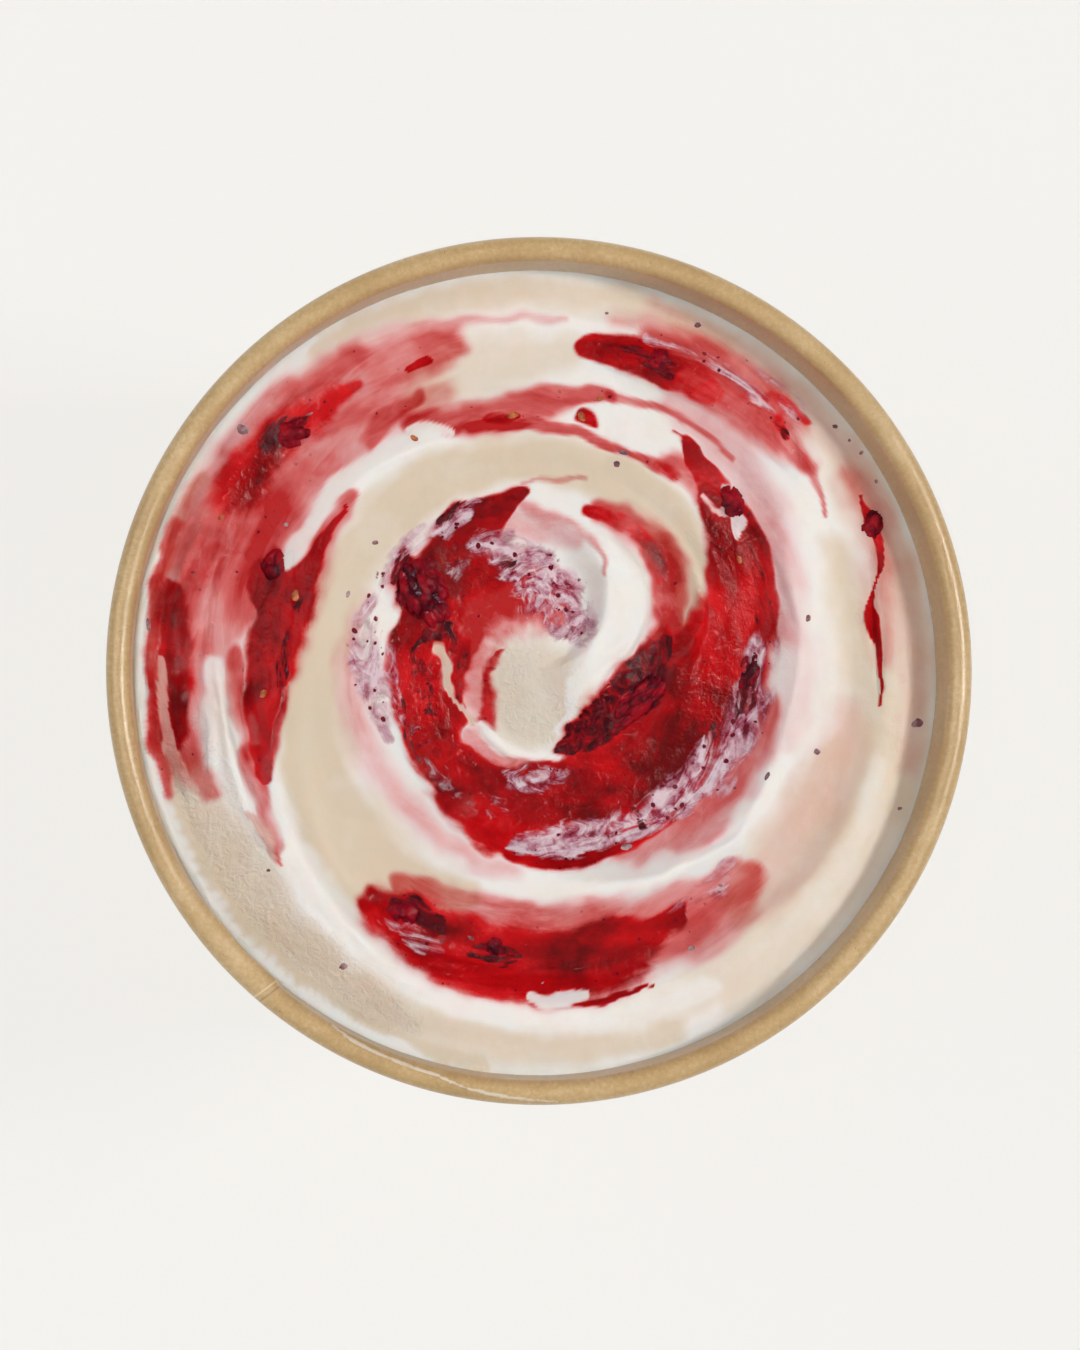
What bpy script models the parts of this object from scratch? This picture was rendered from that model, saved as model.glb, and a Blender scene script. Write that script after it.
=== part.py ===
"""An open ice cream pint: a kraft board tub with a rolled rim and a raised base, filled with
cream that a spatula has turned into a double spiral, with berry ripple lying in its channels
and torn berries pressed into the top.

Metres, +Z up. The origin is the centre of the foot, at table height. Angles on the cream run
anticlockwise from +X in degrees, and pass 360 where a ridge winds round more than once.
"""

import math

import bmesh
import bpy
from mathutils import Euler, Vector

# Driving sizes of the tub
HEIGHT = 0.099
RIM_DIAMETER = 0.098
FOOT_DIAMETER = 0.076
BOARD = 0.0006
BASE_BOARD = 0.00045
BEAD = 0.0028
BASE_HEIGHT = 0.0078
FOLD_HEIGHT = 0.0065
SKIRT_FOOT = 0.0013
CLEARANCE = 0.0003

# The side seam, where the blank's two edges overlap
LAP_START = 225.5
LAP_END = 234.5
LAP_EDGE = 0.5
LAP_STEP = 0.00045
LAP_TOP = HEIGHT - BEAD - 0.0012

# The cream's surface
FILL_LEVEL = HEIGHT - 0.0080
MIN_EDGE = 0.0005
STEEP_SIDE = 0.0028
GENTLE_SIDE = 0.0062
WALL_SMEAR = 0.0026
SMEAR_WIDTH = 0.0018
SMEAR_SIDE = math.radians(205)
CORE_PLACE = (0.0012, -0.0030)
CORE_WIDTH = 0.0056
CORE_LIFT = 0.0018

# Each ridge winds outwards: turn angle, radius, height over the fill level
INNER_RIDGE = (
    (-70, 0.0052, 0.0000),
    (-20, 0.0056, 0.0016),
    (16, 0.0064, 0.0024),
    (30, 0.0082, 0.0028),
    (48, 0.0122, 0.0029),
    (66, 0.0158, 0.0025),
    (92, 0.0196, 0.0016),
    (137, 0.0212, 0.0014),
    (200, 0.0215, 0.0018),
    (262, 0.0224, 0.0022),
    (285, 0.0254, 0.0026),
    (320, 0.0286, 0.0027),
    (367, 0.0298, 0.0026),
    (402, 0.0352, 0.0021),
    (450, 0.0378, 0.0000),
)
OUTER_RIDGE = (
    (-30, 0.0145, 0.0000),
    (3, 0.0172, 0.0010),
    (16, 0.0204, 0.0014),
    (30, 0.0236, 0.0016),
    (50, 0.0255, 0.0017),
    (112, 0.0276, 0.0019),
    (150, 0.0280, 0.0022),
    (170, 0.0274, 0.0022),
    (200, 0.0320, 0.0026),
    (240, 0.0370, 0.0028),
    (285, 0.0388, 0.0024),
    (310, 0.0386, 0.0024),
    (335, 0.0402, 0.0022),
    (370, 0.0400, 0.0017),
    (400, 0.0425, 0.0000),
)

# Ripple pools: turn angle, radius, half width
SPIRAL_POOL = (
    (96, 0.0186, 0.0012),
    (125, 0.0168, 0.0026),
    (150, 0.0136, 0.0040),
    (175, 0.0131, 0.0037),
    (225, 0.0154, 0.0043),
    (275, 0.0168, 0.0052),
    (300, 0.0168, 0.0060),
    (325, 0.0182, 0.0068),
    (350, 0.0208, 0.0060),
    (375, 0.0256, 0.0038),
    (405, 0.0290, 0.0014),
)
LEFT_OUTER_POOL = (
    (119, 0.0388, 0.0012),
    (135, 0.0392, 0.0040),
    (150, 0.0398, 0.0036),
    (168, 0.0404, 0.0032),
    (184, 0.0404, 0.0035),
    (198, 0.0392, 0.0012),
)
LEFT_INNER_POOL = (
    (153, 0.0312, 0.0010),
    (168, 0.0304, 0.0026),
    (185, 0.0312, 0.0030),
    (198, 0.0334, 0.0018),
    (208, 0.0350, 0.0008),
)
FRONT_POOL = (
    (236, 0.0322, 0.0026),
    (250, 0.0320, 0.0052),
    (268, 0.0318, 0.0056),
    (288, 0.0318, 0.0050),
    (308, 0.0314, 0.0034),
    (320, 0.0308, 0.0012),
)
TOP_POOL = (
    (80, 0.0366, 0.0020),
    (66, 0.0376, 0.0032),
    (52, 0.0386, 0.0033),
    (42, 0.0380, 0.0024),
    (36, 0.0366, 0.0008),
)
EDGE_STREAK = (
    (-4, 0.0392, 0.0005),
    (6, 0.0394, 0.0007),
    (14, 0.0398, 0.0006),
    (21, 0.0412, 0.0008),
)

# Berries: place across and up the cream, length, width, height, turn in the plane, how much sits proud
BERRIES = {
    "berry_heart": ((-0.0130, 0.0092), (0.0104, 0.0066, 0.0056), 114, 0.32),
    "berry_fold": ((0.0112, -0.0034), (0.0112, 0.0050, 0.0042), 44, 0.22),
    "berry_channel": ((0.0243, -0.0002), (0.0070, 0.0034, 0.0034), 74, 0.20),
    "berry_right": ((0.0222, 0.0192), (0.0044, 0.0036, 0.0034), 110, 0.26),
    "berry_top": ((0.0142, 0.0356), (0.0046, 0.0034, 0.0032), 160, 0.16),
    "berry_upper_left": ((-0.0281, 0.0270), (0.0054, 0.0040, 0.0036), 20, 0.22),
    "berry_left": ((-0.0296, 0.0118), (0.0048, 0.0040, 0.0036), 70, 0.18),
    "berry_front": ((-0.0150, -0.0274), (0.0056, 0.0046, 0.0038), 10, 0.20),
    "berry_front_small": ((-0.0048, -0.0312), (0.0036, 0.0030, 0.0028), 150, 0.20),
    "berry_edge": ((0.0383, 0.0168), (0.0038, 0.0030, 0.0030), 80, 0.30),
}
DRUPELET = 0.0016
BERRY_TRIANGLES = 170

ROUND_STEPS = 64
CURL_STEPS = 8
CREAM_RINGS = 46
CREAM_STEPS = 120
CREAM_TRIANGLES = 2600


def wall_middle(z):
    """Radius of the middle of the side board at a height."""
    foot = FOOT_DIAMETER / 2 - BOARD / 2
    top = RIM_DIAMETER / 2 - BEAD + BOARD / 2
    return foot + (top - foot) * z / (HEIGHT - BEAD / 2)


def wall_inside(z):
    """Radius of the inner face of the side board at a height."""
    return wall_middle(z) - BOARD / 2


def hermite(knots, t):
    """Smooth values at t through knots whose first number rises or falls steadily."""
    rising = 1 if knots[-1][0] > knots[0][0] else -1
    t = max(min(t * rising, knots[-1][0] * rising), knots[0][0] * rising) * rising
    last = len(knots) - 1
    i = next(k for k in range(last) if (knots[k + 1][0] - t) * rising >= 0)
    a, b = knots[i], knots[i + 1]
    before, after = knots[max(i - 1, 0)], knots[min(i + 2, last)]
    span = b[0] - a[0]
    s = (t - a[0]) / span
    found = []
    for axis in range(1, len(a)):
        slope_a = (b[axis] - before[axis]) / (b[0] - before[0]) * span
        slope_b = (after[axis] - a[axis]) / (after[0] - a[0]) * span
        found.append(
            a[axis] * (2 * s**3 - 3 * s**2 + 1)
            + b[axis] * (3 * s**2 - 2 * s**3)
            + slope_a * (s**3 - 2 * s**2 + s)
            + slope_b * (s**3 - s**2)
        )
    return found


def swirl_height(x, y):
    """Height of the turned cream above the table: steep inside each ridge, gentle outside it."""
    radius = math.hypot(x, y)
    angle = math.degrees(math.atan2(y, x)) % 360
    height = FILL_LEVEL
    for ridge in (INNER_RIDGE, OUTER_RIDGE):
        for turn in (angle - 360, angle, angle + 360):
            if ridge[0][0] < turn < ridge[-1][0]:
                crest, lift = hermite(ridge, turn)
                away = radius - crest
                side = GENTLE_SIDE if away > 0 else STEEP_SIDE
                height += lift * math.exp(-((away / side) ** 2))
    core = math.hypot(x - CORE_PLACE[0], y - CORE_PLACE[1]) / CORE_WIDTH
    height += CORE_LIFT * math.exp(-(core**2))
    to_wall = wall_inside(FILL_LEVEL) - radius
    leaning = 0.5 + 0.5 * math.cos(math.radians(angle) - SMEAR_SIDE)
    return height + WALL_SMEAR * leaning * math.exp(-((to_wall / SMEAR_WIDTH) ** 2))


def clear_scene():
    for obj in list(bpy.data.objects):
        bpy.data.objects.remove(obj)


def new_collection(name):
    collection = bpy.data.collections.new(name)
    bpy.context.scene.collection.children.link(collection)
    return collection


def material(name, colour, roughness):
    """A plain dielectric finish."""
    made = bpy.data.materials.new(name)
    made.use_nodes = True
    shader = made.node_tree.nodes["Principled BSDF"]
    shader.inputs["Base Color"].default_value = (*colour, 1)
    shader.inputs["Roughness"].default_value = roughness
    shader.inputs["Metallic"].default_value = 0
    made.diffuse_color = (*colour, 1)
    return made


def add_object(name, mesh, collection, finish=None):
    obj = bpy.data.objects.new(name, mesh)
    collection.objects.link(obj)
    if finish:
        mesh.materials.clear()
        mesh.materials.append(finish)
    return obj


def freeze(obj):
    """Turns the object's modifiers into its own mesh."""
    graph = bpy.context.evaluated_depsgraph_get()
    mesh = bpy.data.meshes.new_from_object(obj.evaluated_get(graph))
    obj.modifiers.clear()
    obj.data = mesh


def turned(name, profile, steps, collection, finish):
    """A line of (radius, height) points turned once round the Z axis."""
    mesh = bpy.data.meshes.new(name)
    bm = bmesh.new()
    corners = [bm.verts.new((radius, 0, z)) for radius, z in profile]
    for a, b in zip(corners, corners[1:]):
        bm.edges.new((a, b))
    bm.to_mesh(mesh)
    bm.free()
    obj = add_object(name, mesh, collection, finish)
    screw = obj.modifiers.new("turn", "SCREW")
    screw.steps = steps
    screw.render_steps = steps
    screw.use_merge_vertices = True
    screw.merge_threshold = 0.00005
    screw.use_smooth_shade = True
    return obj


def thicken(obj, thickness):
    shell = obj.modifiers.new("board", "SOLIDIFY")
    shell.thickness = thickness
    shell.offset = 0
    shell.use_even_offset = True


def seam_cut(bm, angle):
    """An upright edge loop across the wall at this angle, on the seam's side only."""
    across = Vector((-math.sin(angle), math.cos(angle), 0))
    outwards = Vector((math.cos(angle), math.sin(angle), 0))
    near = [f for f in bm.faces if f.calc_center_median().dot(outwards) > 0]
    edges = {e for f in near for e in f.edges}
    verts = {v for f in near for v in f.verts}
    bmesh.ops.bisect_plane(
        bm, geom=[*near, *edges, *verts], dist=1e-7, plane_co=(0, 0, 0), plane_no=across
    )


def raise_lap(bm):
    """Steps the outer skin out by one thickness of board between the seam's two edges."""
    start, end = math.radians(LAP_START), math.radians(LAP_END)
    edge = math.radians(LAP_EDGE)
    for angle in (start, start + edge, end - edge, end):
        seam_cut(bm, angle)
    for vert in bm.verts:
        angle = math.atan2(vert.co.y, vert.co.x) % math.tau
        radius = math.hypot(vert.co.x, vert.co.y)
        in_lap = start + edge * 0.99 < angle < end - edge * 0.99
        if in_lap and vert.co.z < LAP_TOP and radius > wall_middle(vert.co.z):
            vert.co += Vector((vert.co.x, vert.co.y, 0)).normalized() * LAP_STEP


def tub_wall(collection, finish):
    """The side board: folded in round the base's skirt below, curled outwards into a bead above."""
    fold_in = BOARD + BASE_BOARD + 2 * CLEARANCE
    curl = BEAD / 2 - BOARD / 2
    centre = (RIM_DIAMETER / 2 - BEAD / 2, HEIGHT - BEAD / 2)
    profile = []
    for step in range(CURL_STEPS + 1):
        angle = math.radians(-100 + 280 * step / CURL_STEPS)
        profile.append((centre[0] + curl * math.cos(angle), centre[1] + curl * math.sin(angle)))
    profile.append((wall_middle(LAP_TOP + 0.0006), LAP_TOP + 0.0006))
    profile.append((wall_middle(LAP_TOP - 0.0004), LAP_TOP - 0.0004))
    profile.append((wall_middle(BOARD / 2), BOARD / 2))
    profile.append((wall_middle(BOARD / 2) - fold_in, BOARD / 2))
    profile.append((wall_middle(FOLD_HEIGHT) - fold_in, FOLD_HEIGHT))
    obj = turned("tub_wall", profile, ROUND_STEPS, collection, finish)
    thicken(obj, BOARD)
    freeze(obj)
    bm = bmesh.new()
    bm.from_mesh(obj.data)
    raise_lap(bm)
    bm.to_mesh(obj.data)
    bm.free()
    obj.data.set_sharp_from_angle(angle=math.radians(40))
    return obj


def tub_base(collection, finish):
    """The raised base: a disc whose skirt hangs in the fold of the wall."""
    inset = BOARD / 2 + CLEARANCE + BASE_BOARD / 2
    profile = [
        (0, BASE_HEIGHT),
        (wall_middle(BASE_HEIGHT) - inset, BASE_HEIGHT),
        (wall_middle(SKIRT_FOOT) - inset, SKIRT_FOOT),
    ]
    obj = turned("tub_base", profile, ROUND_STEPS, collection, finish)
    thicken(obj, BASE_BOARD)
    freeze(obj)
    obj.data.set_sharp_from_angle(angle=math.radians(40))
    return obj


def ice_cream(collection, finish):
    """One turned plug that fills the tub, with its top face shaped into the swirl."""
    edge = wall_inside(FILL_LEVEL) - CLEARANCE
    foot = BASE_HEIGHT + BASE_BOARD / 2 + CLEARANCE
    profile = [(edge * k / CREAM_RINGS, FILL_LEVEL) for k in range(CREAM_RINGS + 1)]
    profile.append((wall_inside(foot) - CLEARANCE, foot))
    profile.append((0, foot))
    obj = turned("ice_cream", profile, CREAM_STEPS, collection, finish)
    freeze(obj)
    for vert in obj.data.vertices:
        if vert.co.z > FILL_LEVEL - MIN_EDGE:
            vert.co.z = swirl_height(vert.co.x, vert.co.y)
    fewer = obj.modifiers.new("fewer", "DECIMATE")
    fewer.ratio = CREAM_TRIANGLES / (2 * CREAM_STEPS * (CREAM_RINGS + 1))
    freeze(obj)
    return obj


def ribbon_point(path, turn):
    radius, half = hermite(path, turn)
    angle = math.radians(turn)
    return Vector((radius * math.cos(angle), radius * math.sin(angle), 0)), half


def ripple(name, path, depth, stations, collection, finish, gap=0.0, headroom=0.0):
    """A pool of ripple along a turning path: its top keeps the swirl's form, its underside sags.
    With a gap and headroom it is the cutter that makes the pool's bed."""
    mesh = bpy.data.meshes.new(name)
    bm = bmesh.new()
    across = 2 if depth < 0.0015 else 4
    bmesh.ops.create_grid(bm, x_segments=stations, y_segments=across, size=0.5)
    lifted = bmesh.ops.extrude_face_region(bm, geom=bm.faces[:])
    for vert in (v for v in lifted["geom"] if isinstance(v, bmesh.types.BMVert)):
        vert.co.z = 1
    first, last = path[0][0], path[-1][0]
    ahead = 0.5 if last > first else -0.5
    for vert in bm.verts:
        share, side, top = vert.co.x + 0.5, 2 * vert.co.y, vert.co.z
        turn = first + (last - first) * share
        place, half = ribbon_point(path, turn)
        along = (ribbon_point(path, turn + ahead)[0] - ribbon_point(path, turn - ahead)[0]).normalized()
        sideways = Vector((-along.y, along.x, 0))
        uneven = 1 + 0.10 * math.sin(turn * 0.19 + side) + 0.07 * math.sin(turn * 0.47 + 2 * side)
        place += sideways * side * half * uneven
        surface = swirl_height(place.x, place.y)
        place += sideways * side * gap
        if share in (0, 1):
            place += along * gap * (2 * share - 1)
        middle = 1 - side * side
        ends = min(1, 4 * share, 4 * (1 - share))
        if top > 0.5:
            vert.co = (place.x, place.y, surface + 0.0002 * middle * ends + headroom)
        else:
            sag = MIN_EDGE + (depth - MIN_EDGE) * middle * ends
            vert.co = (place.x, place.y, surface - sag - gap)
    bmesh.ops.recalc_face_normals(bm, faces=bm.faces[:])
    bm.to_mesh(mesh)
    bm.free()
    obj = add_object(name, mesh, collection, finish)
    obj.data.shade_smooth()
    obj.data.set_sharp_from_angle(angle=math.radians(50))
    return obj


def drupelet_centres(count):
    """Points spread evenly over a unit sphere along a golden spiral."""
    golden = math.pi * (3 - math.sqrt(5))
    centres = []
    for k in range(count):
        z = 1 - 2 * (k + 0.5) / count
        ring = math.sqrt(1 - z * z)
        centres.append(Vector((ring * math.cos(golden * k), ring * math.sin(golden * k), z)))
    return centres


def berry_place(place, size, turn, proud):
    """Where a pressed-in berry sits: its centre and its lean."""
    centre = Vector((*place, swirl_height(*place) + size[2] * (proud - 0.5)))
    return centre, Euler((0.12, -0.10, math.radians(turn))).to_matrix()


def berry(name, collection, finish):
    """A torn berry: an egg of drupelets, half sunk in the cream."""
    place, size, turn, proud = BERRIES[name]
    centre, lean = berry_place(place, size, turn, proud)
    count = max(10, round(math.pi * size[0] * size[1] / DRUPELET**2 * 0.75))
    lobes = drupelet_centres(count)
    reach = math.sqrt(4 * math.pi / count) * 0.62
    bm = bmesh.new()
    bmesh.ops.create_icosphere(bm, subdivisions=4, radius=1)
    for vert in bm.verts:
        nearest = min(lobes, key=lambda lobe: (lobe - vert.co).length_squared)
        off = (nearest - vert.co).length / reach
        swell = 0.84 + 0.16 * math.sqrt(max(0, 1 - off * off))
        vert.co = centre + lean @ Vector([c * swell * s / 2 for c, s in zip(vert.co, size)])
    mesh = bpy.data.meshes.new(name)
    bm.to_mesh(mesh)
    bm.free()
    obj = add_object(name, mesh, collection, finish)
    fewer = obj.modifiers.new("fewer", "DECIMATE")
    fewer.ratio = BERRY_TRIANGLES / len(mesh.polygons)
    freeze(obj)
    obj.data.shade_smooth()
    return obj


def berry_bed(name, cutters):
    """A smooth egg a little larger than the berry, which makes room for it."""
    place, size, turn, proud = BERRIES[name]
    centre, lean = berry_place(place, size, turn, proud)
    bm = bmesh.new()
    bmesh.ops.create_icosphere(bm, subdivisions=2, radius=1)
    for vert in bm.verts:
        grown = [c * (s / 2 + CLEARANCE) * 1.06 for c, s in zip(vert.co, size)]
        vert.co = centre + lean @ Vector(grown)
    mesh = bpy.data.meshes.new(name + "_bed")
    bm.to_mesh(mesh)
    bm.free()
    return helper(add_object(name + "_bed", mesh, cutters))


def helper(obj):
    obj.hide_render = True
    obj.display_type = "WIRE"
    return obj


def cut(obj, cutter):
    hollow = obj.modifiers.new("bed", "BOOLEAN")
    hollow.operation = "DIFFERENCE"
    hollow.solver = "EXACT"
    hollow.object = cutter
    freeze(obj)


POOLS = {
    "ripple_spiral": (SPIRAL_POOL, 0.0026, 30),
    "ripple_left_outer": (LEFT_OUTER_POOL, 0.0018, 10),
    "ripple_left_inner": (LEFT_INNER_POOL, 0.0018, 8),
    "ripple_front": (FRONT_POOL, 0.0022, 12),
    "ripple_top": (TOP_POOL, 0.0018, 7),
    "ripple_streak": (EDGE_STREAK, 0.0012, 6),
}
BEDDED_IN = {
    "berry_heart": ["ripple_spiral"],
    "berry_fold": ["ripple_spiral"],
    "berry_channel": ["ripple_spiral"],
    "berry_right": ["ripple_spiral"],
    "berry_top": ["ripple_top"],
    "berry_upper_left": ["ripple_left_outer"],
    "berry_left": ["ripple_left_inner"],
    "berry_front": ["ripple_front"],
    "berry_front_small": ["ripple_front"],
    "berry_edge": ["ripple_streak"],
}


def main():
    clear_scene()
    pint = new_collection("ice_cream_pint")
    cutters = new_collection("cutters")
    kraft = material("kraft_board", (0.52, 0.36, 0.17), 0.72)
    cream = material("cream", (0.80, 0.72, 0.60), 0.45)
    jam = material("berry_ripple", (0.42, 0.006, 0.010), 0.15)
    flesh = material("berry_flesh", (0.045, 0.004, 0.010), 0.25)
    tub_wall(pint, kraft)
    tub_base(pint, kraft)
    filling = ice_cream(pint, cream)
    pools = {}
    for name, (path, depth, stations) in POOLS.items():
        pools[name] = ripple(name, path, depth, stations, pint, jam)
        bed = ripple(name + "_bed", path, depth, stations, cutters, None, CLEARANCE, 0.004)
        cut(filling, helper(bed))
    for name in BERRIES:
        berry(name, pint, flesh)
        bed = berry_bed(name, cutters)
        cut(filling, bed)
        for pool in BEDDED_IN[name]:
            cut(pools[pool], bed)
    filling.data.shade_smooth()
    filling.data.set_sharp_from_angle(angle=math.radians(50))


main()
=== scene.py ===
"""Looks of an open ice cream pint: a kraft board tub, cream turned into a double spiral, and
berry ripple that lies in its channels and stains the cream round them.

Every piece is in the frame's metres. The lists below are in millimetres: a path on the cream gives
a turn angle in degrees, anticlockwise from +X, and then a radius, and a berry, a flake or a seed
lies at its X and Y.
"""

import itertools
import math

import bpy
import numpy as np
from mathutils import Euler, Matrix, Vector


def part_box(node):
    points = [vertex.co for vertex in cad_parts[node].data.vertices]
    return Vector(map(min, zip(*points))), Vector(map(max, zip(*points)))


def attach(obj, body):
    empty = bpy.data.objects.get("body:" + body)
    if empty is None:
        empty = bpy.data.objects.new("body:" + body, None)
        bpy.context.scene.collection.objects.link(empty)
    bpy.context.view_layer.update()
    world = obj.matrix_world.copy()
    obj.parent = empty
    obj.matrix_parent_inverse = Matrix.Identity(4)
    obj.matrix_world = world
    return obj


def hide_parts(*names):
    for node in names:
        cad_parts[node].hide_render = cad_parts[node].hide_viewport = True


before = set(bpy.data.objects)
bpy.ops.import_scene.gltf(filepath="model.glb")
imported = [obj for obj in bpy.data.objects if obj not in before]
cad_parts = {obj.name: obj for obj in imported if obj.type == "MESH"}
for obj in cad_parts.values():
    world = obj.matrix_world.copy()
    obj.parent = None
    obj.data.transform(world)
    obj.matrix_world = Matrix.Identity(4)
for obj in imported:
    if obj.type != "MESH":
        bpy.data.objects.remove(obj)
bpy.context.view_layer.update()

MM = 0.001
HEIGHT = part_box("tub_wall")[1].z
RIM_RADIUS = 49.0 * MM
FOOT_RADIUS = 38.0 * MM
BOARD = 0.6 * MM
BASE_BOARD = 0.45 * MM
BEAD = 2.8 * MM
BASE_HEIGHT = 7.8 * MM
FOLD_HEIGHT = 6.5 * MM
SKIRT_FOOT = 1.3 * MM
CLEARANCE = 0.3 * MM
# The lap seam in the side: its turn angles, how sharp its edges are, its step and its top
LAP_START, LAP_END, LAP_EDGE = 225.5, 234.5, 0.3
LAP_STEP = 0.45 * MM
LAP_TOP = HEIGHT - BEAD - 1.2 * MM
# The bead's middle, the turn of its curl and its steps, and faint waves in the wall, in mm
BEAD_CENTRE = (RIM_RADIUS / MM - BEAD / MM / 2, HEIGHT / MM - BEAD / MM / 2)
CURL_TURN, CURL_STEPS = (-100, 180), 33
WAVE_DEPTH, WAVE_LENGTH = 0.05, 14

# The cream's level, then in mm the widths of a ridge's two sides, the smear up the wall, the
# core, how far the lips stand, how far the cream soaks into the board, and the spatula's marks
FILL_LEVEL = HEIGHT - 8.0 * MM
STEEP_SIDE = 2.8
GENTLE_SIDE = 6.2
WALL_SMEAR = 2.6
SMEAR_WIDTH = 1.8
SMEAR_SIDE = math.radians(205)
CORE_PLACE = (1.2, -3.0)
CORE_WIDTH = 5.6
CORE_LIFT = 1.8
LIP_LIFT = 1.35
CREAM_INTO_BOARD = 0.12
FLOW_PITCH = 3.8
STROKE_LENGTH = 8.0

# Crests of the two ridges as they wind outwards: turn angle, radius, height over the fill level
INNER_RIDGE = (
    (-70, 5.2, 0.0), (-20, 5.6, 1.6), (16, 6.4, 2.4), (30, 8.2, 2.8), (48, 12.2, 2.9),
    (66, 15.8, 2.5), (92, 19.6, 1.6), (137, 21.2, 1.4), (200, 21.5, 1.8), (262, 22.4, 2.2),
    (285, 25.4, 2.6), (320, 28.6, 2.7), (367, 29.8, 2.6), (402, 35.2, 2.1), (450, 37.8, 0.0),
)
OUTER_RIDGE = (
    (-30, 14.5, 0.0), (3, 17.2, 1.0), (16, 20.4, 1.4), (30, 23.6, 1.6), (50, 25.5, 1.7),
    (112, 27.6, 1.9), (150, 28.0, 2.2), (170, 27.4, 2.2), (200, 32.0, 2.6), (240, 37.0, 2.8),
    (285, 38.8, 2.4), (310, 38.6, 2.4), (335, 40.2, 2.2), (370, 40.0, 1.7), (400, 42.5, 0.0),
)
# Thin lips and folds that the spatula leaves: how far the inner and the outer side run, then
# turn angle, radius and height
LIPS = (
    (0.45, 1.4, ((285, 25.2, 0.0), (291, 25.6, 0.3), (300, 27.0, 0.5), (307, 27.5, 0.4), (319, 29.3, 0.6),
        (327, 28.8, 0.5), (338, 28.4, 0.4), (353, 29.0, 0.4), (367, 29.9, 0.45), (380, 30.2, 0.45),
        (392, 30.4, 0.3), (402, 31.0, 0.0))),
    (0.5, 1.6, ((84, 26.4, 0.0), (99, 27.5, 0.2), (113, 28.5, 0.4), (125, 29.2, 0.5), (137, 30.0, 0.5),
        (147, 29.7, 0.4), (158, 28.8, 0.0))),
    (2.2, 0.4, ((2, 17.2, 0.0), (8, 18.2, 0.4), (18, 19.9, 0.6), (29, 21.3, 0.6), (44, 21.8, 0.5),
        (61, 22.4, 0.35), (77, 23.2, 0.0))),
    (1.2, 2.2, ((200, 32.3, 0.0), (213, 33.8, 0.4), (229, 35.4, 0.5), (240, 37.4, 0.5), (252, 38.9, 0.5),
        (266, 39.8, 0.4), (282, 40.8, 0.3), (299, 40.6, 0.3), (315, 40.8, 0.3), (335, 41.4, 0.0))),
    (1.8, 0.5, ((-72, 8.9, 0.0), (-40, 6.4, 0.35), (0, 7.8, 0.5), (20, 12.4, 0.6), (40, 15.8, 0.6),
        (60, 16.9, 0.5), (78, 16.6, 0.0))),
    (0.9, 0.4, ((222, 8.6, 0.0), (238, 9.2, 0.5), (262, 9.8, 0.5), (283, 9.9, 0.4), (291, 9.6, 0.0))),
    (0.5, 0.7, ((140, 44.9, 0.0), (160, 44.9, 0.35), (200, 44.8, 0.5), (235, 44.7, 0.3),
        (256, 44.9, 0.0))),
    (1.1, 1.0, ((132, 43.0, 0.0), (165, 43.2, -0.4), (205, 43.0, -0.5), (240, 43.0, -0.4),
        (270, 43.4, 0.0))),
    (0.5, 0.5, ((36, 43.4, 0.0), (44, 42.6, 0.2), (58, 40.8, 0.3), (76, 40.2, 0.2), (88, 40.4, 0.0))),
    (7.0, 1.4, ((128, 43.6, 0.0), (155, 43.6, 1.5), (185, 43.4, 1.6), (205, 43.4, 0.7),
        (222, 43.6, 0.0))),
    (0.4, 0.5, ((-8, 39.4, 0.0), (4, 38.8, -0.5), (12, 39.0, -0.6), (18, 41.0, -0.4), (25, 42.4, 0.0))),
)

# Pools of ripple: path of turn angle, radius and half width, then the slab's depth
POOLS = {
    "ripple_spiral": ((
        (96, 18.6, 1.2), (125, 16.8, 2.6), (150, 13.6, 4.0), (175, 13.1, 3.7), (225, 15.4, 4.3),
        (275, 16.8, 5.2), (300, 16.8, 6.0), (325, 18.2, 6.8), (350, 20.8, 6.0), (375, 25.6, 3.8),
        (405, 29.0, 1.4),
    ), 2.6),
    "ripple_left_outer": ((
        (119, 38.8, 1.2), (135, 39.2, 4.0), (150, 39.8, 3.6), (168, 40.4, 3.2), (184, 40.4, 3.5),
        (198, 39.2, 1.2),
    ), 1.8),
    "ripple_left_inner": ((
        (153, 31.2, 1.0), (168, 30.4, 2.6), (185, 31.2, 3.0), (198, 33.4, 1.8), (208, 35.0, 0.8),
    ), 1.8),
    "ripple_front": ((
        (236, 32.2, 2.6), (250, 32.0, 5.2), (268, 31.8, 5.6), (288, 31.8, 5.0), (308, 31.4, 3.4),
        (320, 30.8, 1.2),
    ), 2.2),
    "ripple_top": ((
        (36, 36.6, 0.8), (42, 38.0, 2.4), (52, 38.6, 3.3), (66, 37.6, 3.2), (80, 36.6, 2.0),
    ), 1.8),
    "ripple_streak": ((
        (-4, 39.2, 0.5), (6, 39.4, 0.7), (14, 39.8, 0.6), (21, 41.2, 0.8),
    ), 1.2),
}

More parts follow.
